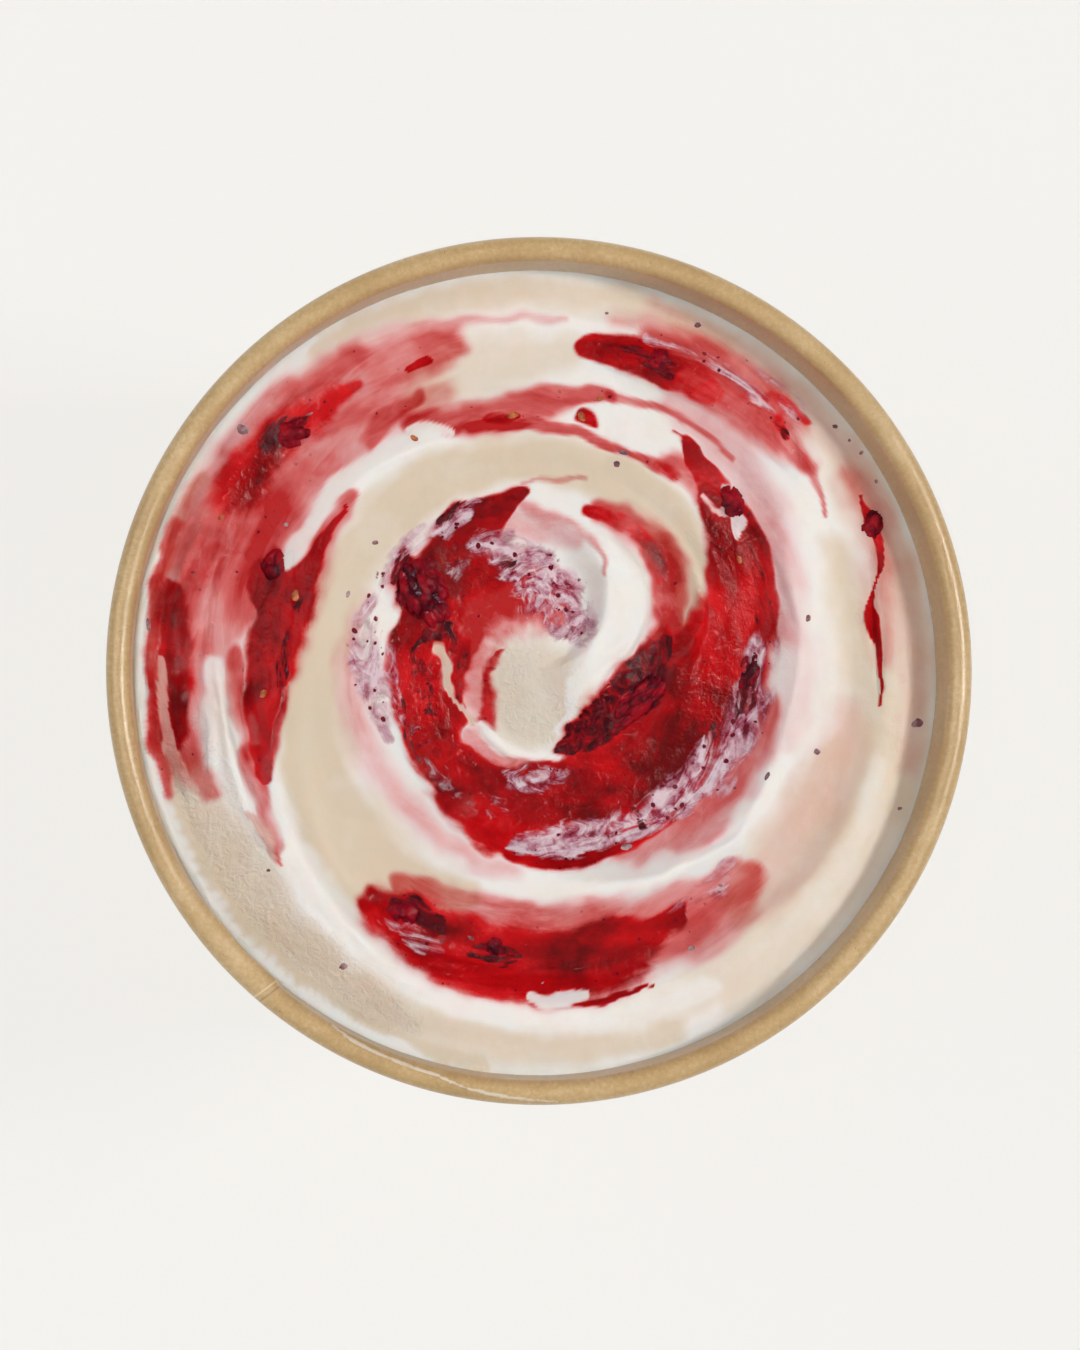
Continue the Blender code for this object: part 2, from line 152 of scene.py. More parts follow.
# Berries: place, then length, width and height, turn in the plane, how much sits proud, and how
# much cream is dragged over it
BERRIES = {
    "berry_heart": ((-13.0, 9.2), (10.4, 6.6, 5.6), 114, 0.32, 0.9),
    "berry_fold": ((11.2, -3.4), (11.2, 5.0, 4.2), 44, 0.22, -0.5),
    "berry_channel": ((24.3, -0.2), (7.0, 3.4, 3.4), 74, 0.20, 0.0),
    "berry_right": ((22.2, 19.2), (4.4, 3.6, 3.4), 110, 0.26, 0.7),
    "berry_top": ((14.2, 35.6), (4.6, 3.4, 3.2), 160, 0.16, 0.5),
    "berry_upper_left": ((-28.1, 27.0), (5.4, 4.0, 3.6), 20, 0.22, 0.2),
    "berry_left": ((-29.6, 11.8), (4.8, 4.0, 3.6), 70, 0.18, 0.4),
    "berry_front": ((-15.0, -27.4), (5.6, 4.6, 3.8), 10, 0.20, 0.6),
    "berry_front_small": ((-4.8, -31.2), (3.6, 3.0, 2.8), 150, 0.20, 0.3),
    "berry_edge": ((38.3, 16.8), (3.8, 3.0, 3.0), 80, 0.30, 0.4),
}
# Flakes of skin on the cream: place, length, width and turn
FLAKES = (
    (43.5, -5.8, 1.7, 1.4, 20), (31.9, -9.1, 0.9, 0.8, 0), (26.1, -11.9, 1.1, 0.5, 60),
    (-22.1, -33.5, 1.3, 0.9, 30), (-21.6, 8.7, 0.9, 0.5, 80), (-18.5, 14.6, 0.8, 0.6, 10),
    (9.0, 23.6, 0.9, 0.8, 0), (30.8, 6.1, 0.9, 0.7, 70), (34.2, 28.1, 0.8, 0.6, 0),
    (35.8, 26.5, 0.4, 0.4, 0), (37.2, 25.1, 0.7, 0.5, 40), (38.9, 21.8, 0.6, 0.5, 100),
    (9.8, 24.9, 1.4, 0.6, 165), (-7.5, -30.4, 2.4, 0.8, 150), (-26.0, 29.2, 1.7, 0.6, 35),
    (-33.4, 27.3, 1.6, 1.1, 150), (18.4, 39.6, 0.9, 0.7, 0), (8.0, 40.9, 0.5, 0.4, 0),
    (-44.2, 5.2, 1.4, 0.5, 95), (-28.6, 16.6, 0.7, 0.5, 30), (41.4, -15.6, 0.7, 0.5, 10),
    (-1.0, -31.0, 1.2, 0.8, 20), (16.9, -27.6, 1.1, 0.6, 110), (17.6, -31.5, 0.8, 0.6, 0),
    (10.2, -20.0, 1.4, 0.8, 10), (-30.6, -22.6, 0.6, 0.4, 0), (0.6, -35.4, 0.7, 0.5, 40),
)
SEEDS = (
    (-27.6, 8.5, 1.4, 0.9, 80), (-2.9, 29.1, 1.3, 0.8, 10), (-14.1, 26.4, 1.0, 0.6, 150),
    (5.0, 29.0, 1.2, 0.8, 120), (7.1, 31.1, 1.0, 0.5, 20), (-31.2, -2.6, 1.1, 0.7, 60),
    (23.1, 12.8, 1.0, 0.6, 100), (-36.0, 17.4, 0.9, 0.6, 40),
)

# Stains and smears in the order that a brush would lay them: what is laid, how strongly,
# how soft its edge is, then its path of turn angle, radius and half width
SMEARS = (
    # Cream that has begun to melt, yellower and smoother than the whipped white; beige and faint
    # pink painted shade along the right wall and on the slopes at the right; and the white line
    # along the board
    ("melted", 1.0, 0.4, ((2, 17.4, 0.6), (8, 17.8, 1.3), (18, 18.6, 1.9), (30, 19.8, 2.2),
        (46, 22.0, 3.0), (62, 23.2, 3.2), (84, 24.0, 2.6), (112, 24.4, 3.0), (140, 24.4, 3.2),
        (165, 24.4, 2.8), (185, 25.6, 3.2), (205, 27.8, 4.4), (226, 29.2, 5.0), (240, 28.8, 3.8),
        (252, 26.8, 2.0))),
    ("melted", 0.8, 0.6, ((198, 41.5, 2.6), (215, 41.6, 3.4), (240, 42.2, 2.8), (270, 42.6, 2.4),
        (290, 43.4, 1.6))),
    # Beige painted shade along the right wall, where the wall's shade falls on the cream
    ("melted", 0.4, 0.7, ((300, 44.0, 1.4), (325, 43.6, 1.9), (345, 43.0, 2.4))),
    ("melted", 0.8, 0.7, ((340, 43.2, 1.6), (352, 42.8, 2.4), (375, 42.4, 3.0), (392, 42.8, 3.0),
        (410, 43.6, 2.0), (428, 43.8, 1.6))),
    ("melted", 0.8, 0.6, ((60, 43.4, 1.6), (80, 43.2, 2.0), (100, 43.6, 1.8), (125, 44.2, 1.2))),
    ("melted", 0.7, 0.6, ((84, 36.6, 1.8), (98, 35.6, 3.2), (112, 34.8, 2.4))),
    ("melted", 0.7, 0.6, ((180, 36.4, 1.4), (188, 36.6, 1.8), (196, 36.8, 1.2))),
    # Faint pink painted shade on the slope at the lower right, and warm pink painted shade along the wall
    # at the top right
    ("painted_warm_shade", 0.6, 0.6, ((312, 35.6, 2.4), (324, 35.2, 3.6), (338, 35.4, 3.2), (352, 35.8, 2.0))),
    ("painted_warm_shade", 0.7, 0.8, ((-14, 43.6, 1.2), (10, 43.0, 1.8), (40, 43.4, 1.8), (72, 43.8, 1.2))),
    # Beige painted shade over the right of the cream, where the light falls off
    ("melted", 0.9, 0.8, ((-76, 40.6, 1.2), (-56, 40.2, 2.4), (-36, 40.0, 3.6), (-22, 39.6, 4.0),
        (-6, 38.6, 3.8), (8, 37.2, 3.0), (22, 37.0, 1.6))),
    ("melted", 0.9, 0.5, ((150, 44.0, 0.6), (180, 44.2, 1.0), (205, 44.2, 1.4), (235, 44.4, 1.2),
        (262, 44.8, 0.6))),
    ("white", 1.0, 0.4, ((124, 45.5, 0.4), (140, 45.3, 0.9), (190, 45.2, 1.1), (240, 45.4, 0.9),
        (256, 45.6, 0.4))),
    # Beige painted shade on the shaded slope at the lower right
    ("melted", 0.8, 0.6, ((312, 35.0, 2.6), (322, 34.6, 3.6), (334, 34.8, 3.0), (346, 35.2, 1.6))),
    ("melted", 0.7, 0.5, ((300, 4.4, 4.2), (180, 0.8, 4.4), (240, 5.0, 3.6), (262, 6.8, 2.4))),
    # Thin ripple stirred into the cream
    ("wash", 0.35, 0.8, ((86, 40.3, 0.5), (98, 40.4, 0.6), (108, 41.0, 0.9), (120, 41.6, 1.2))),
    ("wash", 0.55, 0.5, ((104, 38.4, 1.6), (112, 38.2, 2.4), (122, 38.0, 3.4), (134, 37.8, 4.6),
        (148, 37.6, 5.0), (160, 38.2, 5.0), (172, 39.4, 4.4), (184, 40.0, 3.6), (193, 40.6, 2.2),
        (200, 39.6, 1.0))),
    ("wash", 0.45, 0.6, ((150, 34.6, 3.2), (160, 34.0, 3.0), (170, 34.6, 2.0))),
    ("wash", 0.34, 0.7, ((120, 41.4, 1.2), (134, 42.0, 1.8), (148, 42.4, 2.4), (162, 42.6, 2.2))),
    ("wash", 0.30, 0.5, ((96, 20.9, 0.3), (92, 21.5, 0.35), (85, 22.1, 0.4), (76, 22.3, 0.3))),
    ("wash", 0.30, 0.7, ((108, 33.6, 1.6), (120, 33.4, 2.2), (134, 33.4, 2.4), (148, 33.2, 2.6))),
    ("wash", 0.50, 0.5, ((112, 34.6, 0.7), (120, 33.6, 1.2), (126, 32.4, 1.0))),
    ("wash", 0.62, 0.4, ((74, 32.4, 0.7), (82, 31.8, 1.2), (90, 30.6, 2.0), (100, 29.6, 2.0),
        (108, 30.4, 1.8), (116, 31.6, 1.2))),
    ("wash", 0.50, 0.4, ((48, 33.0, 0.3), (58, 33.4, 0.4), (66, 33.0, 0.6), (74, 32.2, 0.8))),
    ("wash", 0.70, 0.4, ((56, 27.6, 0.9), (64, 27.0, 0.7), (74, 27.2, 0.6), (88, 28.0, 0.8),
        (100, 28.4, 0.6), (112, 29.6, 0.5))),
    ("wash", 0.60, 0.5, ((46, 27.4, 1.2), (52, 28.6, 1.6), (58, 28.2, 1.0))),
    ("wash", 0.30, 0.8, ((10, 28.6, 2.2), (24, 30.2, 2.2), (38, 31.8, 2.4), (52, 33.2, 2.2),
        (64, 34.2, 1.4))),
    ("wash", 0.80, 0.5, ((38, 38.6, 1.2), (46, 39.0, 2.8), (54, 39.2, 3.0), (62, 38.8, 2.8),
        (70, 38.4, 2.6))),
    ("wash", 0.55, 0.6, ((28, 37.4, 0.3), (34, 38.4, 0.5), (41, 39.4, 0.8))),
    ("wash", 0.25, 0.9, ((50, 42.6, 1.2), (62, 42.0, 1.0), (78, 41.0, 0.8))),
    ("wash", 0.30, 0.9, ((2, 39.6, 1.2), (12, 40.0, 1.6), (24, 42.0, 2.0), (32, 42.0, 1.6))),
    ("wash", 0.12, 0.9, ((340, 27.8, 1.6), (352, 29.2, 2.0), (364, 30.0, 2.2))),
    ("wash", 0.28, 0.8, ((158, 20.6, 1.2), (172, 21.2, 1.4), (190, 21.2, 1.6), (206, 21.2, 1.8),
        (222, 21.2, 1.6), (240, 22.0, 1.4), (262, 22.8, 1.2))),
    ("wash", 0.58, 0.5, ((296, 22.6, 2.2), (308, 23.6, 2.6), (322, 24.6, 2.8), (338, 25.4, 2.6),
        (350, 26.2, 2.0))),
    ("wash", 0.55, 0.35, ((238, 28.6, 1.4), (250, 28.0, 1.8), (264, 28.2, 2.0), (280, 29.6, 3.0),
        (294, 31.6, 4.4), (304, 33.0, 4.0), (313, 33.4, 2.8), (317, 33.4, 1.6))),
    ("wash", 0.60, 0.5, ((196, 34.4, 1.0), (204, 34.4, 0.8), (211, 35.0, 0.6), (217, 36.4, 0.3))),
    ("wash", 0.60, 0.5, ((176, 34.6, 1.0), (186, 34.4, 1.0), (196, 34.2, 0.8))),
    ("wash", 0.90, 0.6, ((76, 7.6, 2.4), (88, 8.8, 3.4), (104, 9.4, 3.8), (120, 9.8, 4.0),
        (145, 9.0, 3.2), (170, 7.6, 2.0), (200, 7.0, 1.6), (222, 8.0, 1.2))),
    ("wash", 0.45, 0.6, ((225, 10.6, 1.0), (245, 10.8, 1.0), (268, 10.8, 0.8))),
    # Ripple that lies thick enough to shine, and the thinner stains that lead into it
    ("jam", 1.0, 0.25, ((96, 19.8, 0.9), (106, 18.6, 2.2), (118, 17.0, 3.2), (132, 15.0, 3.8),
        (150, 13.4, 3.4), (165, 13.6, 3.0), (180, 13.2, 2.8), (195, 13.6, 2.8), (210, 14.0, 3.0),
        (225, 14.4, 3.4), (243, 15.4, 4.3), (256, 16.2, 4.9), (270, 14.6, 4.0), (285, 14.2, 4.0),
        (300, 14.4, 5.0), (316, 15.2, 5.4), (330, 16.0, 5.8), (345, 17.2, 6.2), (358, 19.4, 6.4),
        (370, 22.8, 4.8), (380, 24.8, 4.2), (392, 26.8, 3.4), (404, 28.4, 2.2), (412, 29.8, 1.2),
        (420, 31.2, 0.4))),
    ("jam", 1.0, 0.3, ((264, 20.6, 1.4), (285, 20.6, 2.4), (305, 20.8, 2.6), (325, 21.2, 2.6),
        (345, 22.4, 2.8))),
    ("wash", 0.70, 0.5, ((70, 19.6, 1.0), (58, 19.8, 1.8), (46, 19.8, 2.1), (34, 18.6, 1.9),
        (22, 16.8, 1.8), (12, 15.2, 2.0))),
    ("jam", 0.80, 0.5, ((74, 19.4, 0.5), (62, 19.4, 1.0), (48, 19.2, 1.0), (38, 18.0, 0.7))),
    ("wash", 0.70, 0.5, ((40, 17.6, 1.6), (30, 16.2, 2.0), (20, 15.4, 1.8))),
    ("jam", 0.85, 0.6, ((20, 15.2, 0.6), (12, 14.0, 1.4), (5, 12.9, 2.2), (-2, 12.2, 2.8))),
    ("jam", 0.95, 0.3, ((81, 37.2, 1.2), (76, 37.4, 2.0), (70, 37.8, 2.3), (64, 37.7, 2.2),
        (58, 37.4, 1.2))),
    ("faded", 0.7, 0.7, ((66, 38.0, 1.6), (60, 38.0, 2.4), (53, 38.6, 2.6), (47, 39.2, 2.0))),
    ("jam", 0.7, 0.7, ((50, 41.2, 0.6), (46, 41.6, 0.9), (43, 41.8, 0.6))),
    ("jam", 0.85, 0.7, ((122, 38.4, 1.0), (129, 38.6, 2.2), (137, 39.4, 2.7), (145, 40.0, 3.0),
        (151, 40.0, 2.2))),
    ("jam", 0.5, 0.6, ((150, 39.0, 3.0), (158, 38.6, 2.8), (166, 40.6, 2.4))),
    ("jam", 0.95, 0.5, ((166, 43.6, 0.8), (172, 42.6, 2.4), (180, 42.2, 3.2), (187, 42.2, 2.6),
        (191, 42.6, 1.4))),
    ("faded", 0.8, 0.6, ((158, 44.0, 0.6), (172, 44.4, 1.0), (186, 44.4, 1.2), (198, 44.2, 0.8))),
    ("white", 1.0, 0.4, ((150, 45.5, 0.3), (168, 45.4, 0.7), (184, 45.4, 0.8), (204, 45.4, 0.5))),
    ("wash", 0.60, 0.6, ((136, 28.8, 0.6), (146, 28.6, 1.3), (155, 28.4, 2.0), (164, 28.8, 2.4))),
    ("jam", 0.95, 0.4, ((140, 28.6, 0.3), (149, 28.4, 0.9), (156, 28.5, 1.7), (162, 29.4, 2.9),
        (170, 29.8, 3.1), (180, 30.6, 2.7), (188, 31.6, 2.2), (195, 32.6, 1.3), (201, 33.4, 0.6))),
    ("jam", 0.9, 0.4, ((156, 32.6, 1.2), (160, 32.8, 1.8), (165, 32.4, 1.4))),
    ("jam", 0.9, 0.3, ((109, 37.6, 0.6), (111, 37.4, 0.8), (113, 37.2, 0.4))),
    ("jam", 0.9, 0.4, ((77, 29.2, 0.6), (80, 29.6, 0.8))),
    ("jam", 0.8, 0.5, ((94, 29.4, 0.4), (98, 29.2, 0.9), (101, 29.0, 0.5))),
    ("jam", 0.7, 0.6, ((56, 27.6, 0.7), (60, 27.4, 0.6))),
    ("jam", 0.95, 0.5, ((234, 32.4, 1.6), (242, 32.4, 3.4), (252, 33.0, 4.4), (264, 33.4, 4.8),
        (276, 33.4, 4.6), (286, 32.8, 4.0), (294, 32.2, 2.2), (301, 31.8, 1.0))),
    ("jam", 0.9, 0.3, ((276, 38.0, 0.3), (283, 38.0, 0.4), (290, 38.0, 0.2))),
    ("jam", 0.95, 0.3, ((-6, 39.4, 0.15), (3, 38.8, 0.4), (9, 38.7, 0.5), (13, 39.2, 0.3),
        (17, 41.0, 0.3), (21, 41.8, 0.7), (25, 42.0, 0.9), (28, 42.6, 0.3))),
    ("jam", 0.7, 0.6, ((150, 4.6, 0.3), (170, 5.2, 0.6), (190, 5.8, 0.6), (208, 6.8, 0.7),
        (222, 8.0, 0.6))),
    ("jam", 0.9, 0.4, ((100, 12.4, 1.0), (112, 12.0, 1.8), (128, 12.2, 2.2))),
    ("jam", 0.9, 0.35, ((160, 9.6, 1.2), (175, 9.4, 1.6), (195, 9.8, 1.6), (212, 10.6, 1.4))),
    # Whipped white laid back over it, a beige streak of painted reflection, and two pale patches of painted
    # reflection
    ("white", 1.0, 0.25, ((-72, 7.2, 0.4), (-45, 5.2, 0.8), (-20, 5.0, 1.1), (0, 5.6, 1.5),
        (14, 8.2, 2.1), (25, 10.6, 2.7), (38, 13.0, 2.9), (50, 14.4, 3.0), (60, 14.8, 2.6),
        (72, 14.4, 1.9), (84, 14.4, 0.9))),
    ("white", 0.9, 0.5, ((66, 17.0, 0.8), (76, 17.0, 1.5), (86, 16.8, 1.6), (97, 16.6, 1.0))),
    ("white", 0.9, 0.35, ((222, 8.8, 0.5), (240, 9.3, 0.6), (262, 9.7, 0.6), (284, 9.7, 0.5))),
    ("white", 0.55, 0.5, ((150, 6.4, 0.8), (172, 6.8, 0.8), (195, 7.4, 0.7), (212, 8.6, 0.5))),
    ("white", 0.9, 0.4, ((60, 30.4, 1.0), (66, 30.2, 1.8), (74, 29.8, 1.2))),
    ("white", 0.9, 0.35, ((110, 29.4, 0.5), (114, 30.2, 0.9), (117, 31.2, 0.5))),
    ("white", 0.8, 0.4, ((113, 29.6, 0.5), (124, 30.4, 0.9), (136, 31.0, 1.0), (148, 30.6, 0.8),
        (156, 31.4, 0.8))),
    ("white", 0.8, 0.5, ((178, 36.8, 1.0), (186, 36.8, 2.0), (194, 37.0, 2.0), (200, 37.2, 1.2))),
    ("white", 0.9, 0.5, ((204, 33.0, 0.8), (213, 33.8, 1.4), (229, 35.6, 1.6), (240, 37.2, 1.5),
        (252, 38.6, 1.3), (262, 39.4, 1.2), (282, 40.4, 1.6), (298, 40.4, 1.4))),
    ("white", 0.45, 0.7, ((294, 40.4, 1.4), (315, 40.8, 1.8), (330, 41.2, 1.4), (345, 40.4, 1.2))),
    ("white", 0.85, 0.5, ((276, 24.4, 0.6), (291, 25.6, 1.4), (306, 27.2, 1.4), (318, 29.0, 1.2),
        (328, 28.8, 1.2), (340, 29.8, 1.0))),
    ("white", 0.7, 0.4, ((158, 18.4, 1.0), (170, 19.6, 1.2), (182, 19.4, 1.0))),
    ("white", 0.9, 0.3, ((268, 37.0, 0.6), (273, 37.2, 0.9), (278, 37.0, 0.5))),
    ("white", 0.8, 0.3, ((44, 29.8, 0.5), (40, 29.0, 0.5), (36, 28.2, 0.7), (33, 27.4, 0.4))),
    ("white", 0.7, 0.3, ((38, 28.8, 0.4), (42, 27.6, 0.4), (46, 27.4, 0.3))),
    # A beige streak of painted reflection on the wet middle
    ("cream", 1.0, 0.3, ((162, 11.8, 0.6), (177, 10.9, 0.65), (192, 10.1, 0.55), (207, 9.5, 0.4),
        (221, 9.7, 0.2))),
    # Two pale patches of painted reflection on the left pools
    ("film", 0.9, 0.25, ((178, 43.0, 0.3), (184, 42.8, 0.7), (189, 42.7, 0.4), (194, 42.4, 0.7),
        (199, 41.0, 0.3))),
    ("film", 0.7, 0.25, ((206, 36.6, 0.3), (209, 36.0, 0.9), (213, 36.4, 0.7), (216, 37.0, 0.3))),
    # Skins, pulp and froth, with the ripple between them, then icy grain and a wet glaze
    ("skin", 0.95, 0.35, ((286, 8.8, 0.7), (298, 8.8, 1.6), (314, 9.0, 2.4), (332, 9.8, 3.0),
        (348, 11.2, 3.0), (359, 12.2, 2.3), (367, 13.4, 1.4), (374, 14.8, 0.7))),
    ("skin", 0.9, 0.4, ((139, 20.0, 0.8), (145, 17.6, 2.2), (152, 15.0, 2.4), (156, 12.0, 1.8))),
    ("skin", 0.55, 0.5, ((-8, 24.6, 1.6), (4, 25.2, 1.6), (18, 26.6, 1.2), (30, 27.8, 1.0))),
    ("skin", 0.7, 0.5, ((340, 21.6, 1.4), (350, 23.6, 1.6), (358, 24.8, 1.4))),
    ("skin", 0.9, 0.4, ((238, 31.2, 1.0), (243, 30.8, 1.5), (249, 31.0, 1.2))),
    ("skin", 0.9, 0.4, ((74, 38.2, 0.7), (70, 38.0, 1.3), (66, 37.6, 1.2))),
    ("skin", 0.8, 0.4, ((133, 38.8, 0.8), (137, 39.8, 1.2), (141, 40.4, 0.8))),
    ("skin", 0.7, 0.5, ((163, 28.2, 0.6), (170, 28.2, 0.8), (180, 28.8, 0.7), (188, 30.2, 0.6))),
    ("skin", 0.8, 0.4, ((115, 20.6, 0.5), (119, 20.4, 0.9), (123, 20.0, 0.5))),
    ("skin", 0.8, 0.4, ((103, 13.0, 0.6), (108, 12.6, 0.6))),
    ("skin", 0.6, 0.5, ((160, 10.2, 0.8), (172, 9.2, 1.2), (184, 8.8, 1.0), (198, 8.8, 0.8))),
    ("jam", 1.0, 0.4, ((160, 15.6, 1.2), (170, 15.4, 1.8), (182, 15.2, 1.8), (196, 15.6, 1.4))),
    ("jam", 0.8, 0.5, ((172, 12.6, 0.8), (184, 12.4, 1.1), (200, 12.4, 1.1), (214, 12.6, 0.8))),
    ("skin", 0.7, 0.6, ((166, 14.0, 0.9), (182, 12.8, 1.4), (198, 13.0, 1.2))),
    ("skin", 0.7, 0.5, ((190, 15.4, 0.5), (205, 16.0, 0.8), (216, 16.6, 0.6))),
    ("skin", 0.8, 0.4, ((257, 32.4, 0.8), (263, 32.6, 1.2), (266, 32.2, 0.6))),
    ("skin", 0.8, 0.4, ((303, 21.8, 0.5), (306, 18.4, 0.5))),
    ("skin", 0.8, 0.4, ((44, 39.3, 0.9), (46, 39.6, 0.8))),
    ("froth", 1.0, 0.6, ((158, 20.4, 1.7), (168, 20.0, 2.4), (178, 19.4, 2.2), (190, 18.6, 1.4),
        (204, 18.2, 0.7))),
    ("froth", 0.9, 0.5, ((124, 20.0, 1.1), (135, 20.2, 1.8), (148, 20.0, 1.6))),
    ("froth", 0.8, 0.5, ((110, 20.4, 0.8), (116, 19.6, 1.2), (122, 18.8, 1.0))),
    ("froth", 1.0, 0.5, ((264, 19.8, 1.2), (276, 19.4, 2.0), (288, 19.4, 2.4), (300, 20.4, 1.9),
        (312, 21.6, 1.5))),
    ("froth", 1.0, 0.6, ((306, 21.0, 2.2), (322, 22.0, 3.0), (338, 23.4, 3.2), (352, 24.4, 2.8),
        (366, 25.4, 2.0))),
    ("froth", 0.9, 0.6, ((256, 12.6, 1.0), (270, 12.2, 1.5), (284, 12.4, 1.0))),
    ("froth", 0.55, 0.6, ((206, 15.4, 1.0), (222, 15.8, 1.6), (240, 16.0, 2.0), (254, 16.4, 1.8))),
    ("froth", 1.0, 0.6, ((114, 15.2, 1.4), (103, 13.2, 2.8), (91, 11.0, 3.9), (75, 8.8, 3.8),
        (57, 7.2, 2.8), (38, 6.4, 1.4))),
    ("skin", 0.35, 0.7, ((112, 14.8, 1.6), (98, 12.0, 2.2), (84, 9.6, 2.0), (66, 7.4, 1.4))),
    ("wash", 0.34, 0.8, ((96, 19.2, 0.5), (86, 17.8, 0.6), (74, 17.0, 0.5), (64, 15.7, 0.4),
        (57, 13.7, 0.3))),
    ("wash", 0.30, 0.7, ((100, 16.8, 1.6), (88, 16.2, 1.4), (74, 15.6, 0.8))),
    ("froth", 0.6, 0.5, ((104, 16.0, 1.6), (118, 15.4, 2.0), (130, 14.6, 1.4))),
    ("froth", 0.8, 0.5, ((238, 33.4, 1.0), (244, 33.2, 1.6), (250, 33.4, 1.0))),
    ("froth", 0.6, 0.6, ((42, 42.4, 0.6), (48, 43.0, 0.8), (56, 42.4, 0.6))),
    ("froth", 0.6, 0.5, ((300, 30.4, 1.2), (308, 31.4, 1.8), (315, 31.0, 1.0))),
    ("icy", 1.0, 0.6, ((190, 40.6, 2.0), (202, 40.4, 3.2), (218, 40.8, 3.4), (236, 41.6, 2.6),
        (250, 42.6, 1.6))),
    ("icy", 0.6, 0.7, ((300, 4.4, 4.2), (200, 1.4, 3.6), (250, 4.6, 3.0))),
    ("froth", 0.75, 0.8, ((72, 40.0, 0.5), (64, 40.3, 0.9), (56, 40.6, 1.2), (50, 40.8, 1.2),
        (44, 41.0, 0.7))),
    ("froth", 0.6, 0.7, ((172, 16.8, 0.8), (186, 16.4, 1.2), (200, 16.6, 1.0))),
    ("glaze", 1.0, 0.5, ((160, 40.6, 2.0), (172, 41.0, 3.0), (184, 41.2, 3.0), (196, 40.8, 2.0))),
    ("glaze", 1.0, 0.5, ((176, 35.4, 1.4), (188, 35.2, 2.4), (200, 35.2, 2.2), (212, 35.8, 1.6))),
    ("glaze", 0.5, 0.6, ((236, 34.6, 2.0), (250, 35.6, 2.6), (262, 36.4, 1.6))),
)
# What the cream carries, and how much of it each kind of smear leaves where it covers fully
COATS = ("melted", "wash", "jam", "skin", "froth", "icy", "glaze")
STAINS = {
    "melted": {"melted": 1.0},
    # A faint pink tint laid down as painted warm shade
    "painted_warm_shade": {"wash": 0.22},
    "wash": {"wash": 1.0},
    "jam": {"jam": 1.0, "froth": 0.0, "skin": 0.0},
    "white": {"jam": 0.0, "wash": 0.0, "melted": 0.0, "froth": 0.0, "skin": 0.0},
    # cream: beige paint laid down as a painted reflection
    "cream": {"jam": 0.0, "wash": 0.15, "melted": 1.0, "froth": 0.0, "skin": 0.0},
    "skin": {"skin": 1.0, "jam": 1.0},
    "froth": {"froth": 1.0},
    "icy": {"icy": 1.0},
    "glaze": {"glaze": 1.0},
    "faded": {"jam": 0.55, "wash": 0.75},
    # film: pale paint laid down as painted reflections
    "film": {"jam": 0.0, "wash": 0.30, "melted": 0.7, "froth": 0.0, "skin": 0.0},
}

# A smear of cream on the rolled rim: turn angle, radius and half width
RIM_SMEAR = ((239, 46.3, 0.1), (243, 46.8, 0.3), (255, 47.0, 0.25), (260, 47.8, 0.25),
             (267, 48.3, 0.3), (272, 48.6, 0.1))
# Where the board's inner layer thickens the bead: it grows in, is full, and ends at the seam
RIM_STRIP = (212, 219, 229.6)
STRIP_LIFT = 0.35
# The seam's pale cut edge and the dark gap beside it: turn angles, width and slant
SEAM_EDGE, SEAM_GAP = 229.4, 230.3
SEAM_WIDTH = 0.15 * MM
SEAM_SLANT = 0.23

# How finely things are made: squares across the cream, the squares of a pool along and across it
# in millimetres, steps round the side and the base, and points on a smear's spine
GRID = 300
POOL_SQUARES = (0.32, 0.3)
SIDE_STEPS, BASE_STEPS = 720, 180
SPINE_STEP = 0.04
NOISE_SIZE = 256
POINTS_AT_ONCE = 20000

# A smear's least half width in mm, how far off it is looked for, and what stands for further
# off than that, both in half widths
THINNEST = 0.15
SMEAR_REACH, OUT_OF_REACH = 2.5, 9.0

# A pool's film in mm: how far its edge is sunk, how far its middle rises from there, and the
# depth of its edge; then the turn on either side over which its direction is read
FILM_SUNK, FILM_RISE = 0.10, 0.18
FILM_EDGE = 0.6
FILM_AIM = 0.5

# Drupelets: the skin of a berry that each one takes up, how uneven they are, how many are burst,
# how far each one reaches, how deep the creases are in a whole berry and in a torn one, and how
# a berry leans
DRUPELET_SIZE = 3.8
DRUPELET_DRIFT = 0.10
DRUPELET_WEIGHT = (0.78, 1.25)
BURST_SHARE, BURST_SWELL = 0.18, 0.25
DRUPELET_REACH = 0.68
WHOLE_CREASE, TORN_CREASE = 0.24, 0.14
BERRY_LEAN = (0.12, -0.10)

# The camera: metres and degrees, its sensor in mm, then pixels of the picture
EYE_DISTANCE, EYE_LEAN, EYE_SIDE = 0.70, 4.5, 197
SENSOR = 36
PICTURE_HEIGHT = 1350
RIM_ACROSS = 2 * 435.0
SHIFT_RIGHT, SHIFT_UP = -2.0, -5.0


def srgb(red, green, blue):
    """A colour as a screen shows it, out of 255, as the shader wants it."""
    shares = np.array((red, green, blue)) / 255
    linear = np.where(shares < 0.04045, shares / 12.92, ((shares + 0.055) / 1.055) ** 2.4)
    return (*linear.tolist(), 1)


def smoothstep(low, high, value):
    share = np.clip((value - low) / (high - low), 0, 1)
    return share * share * (3 - 2 * share)


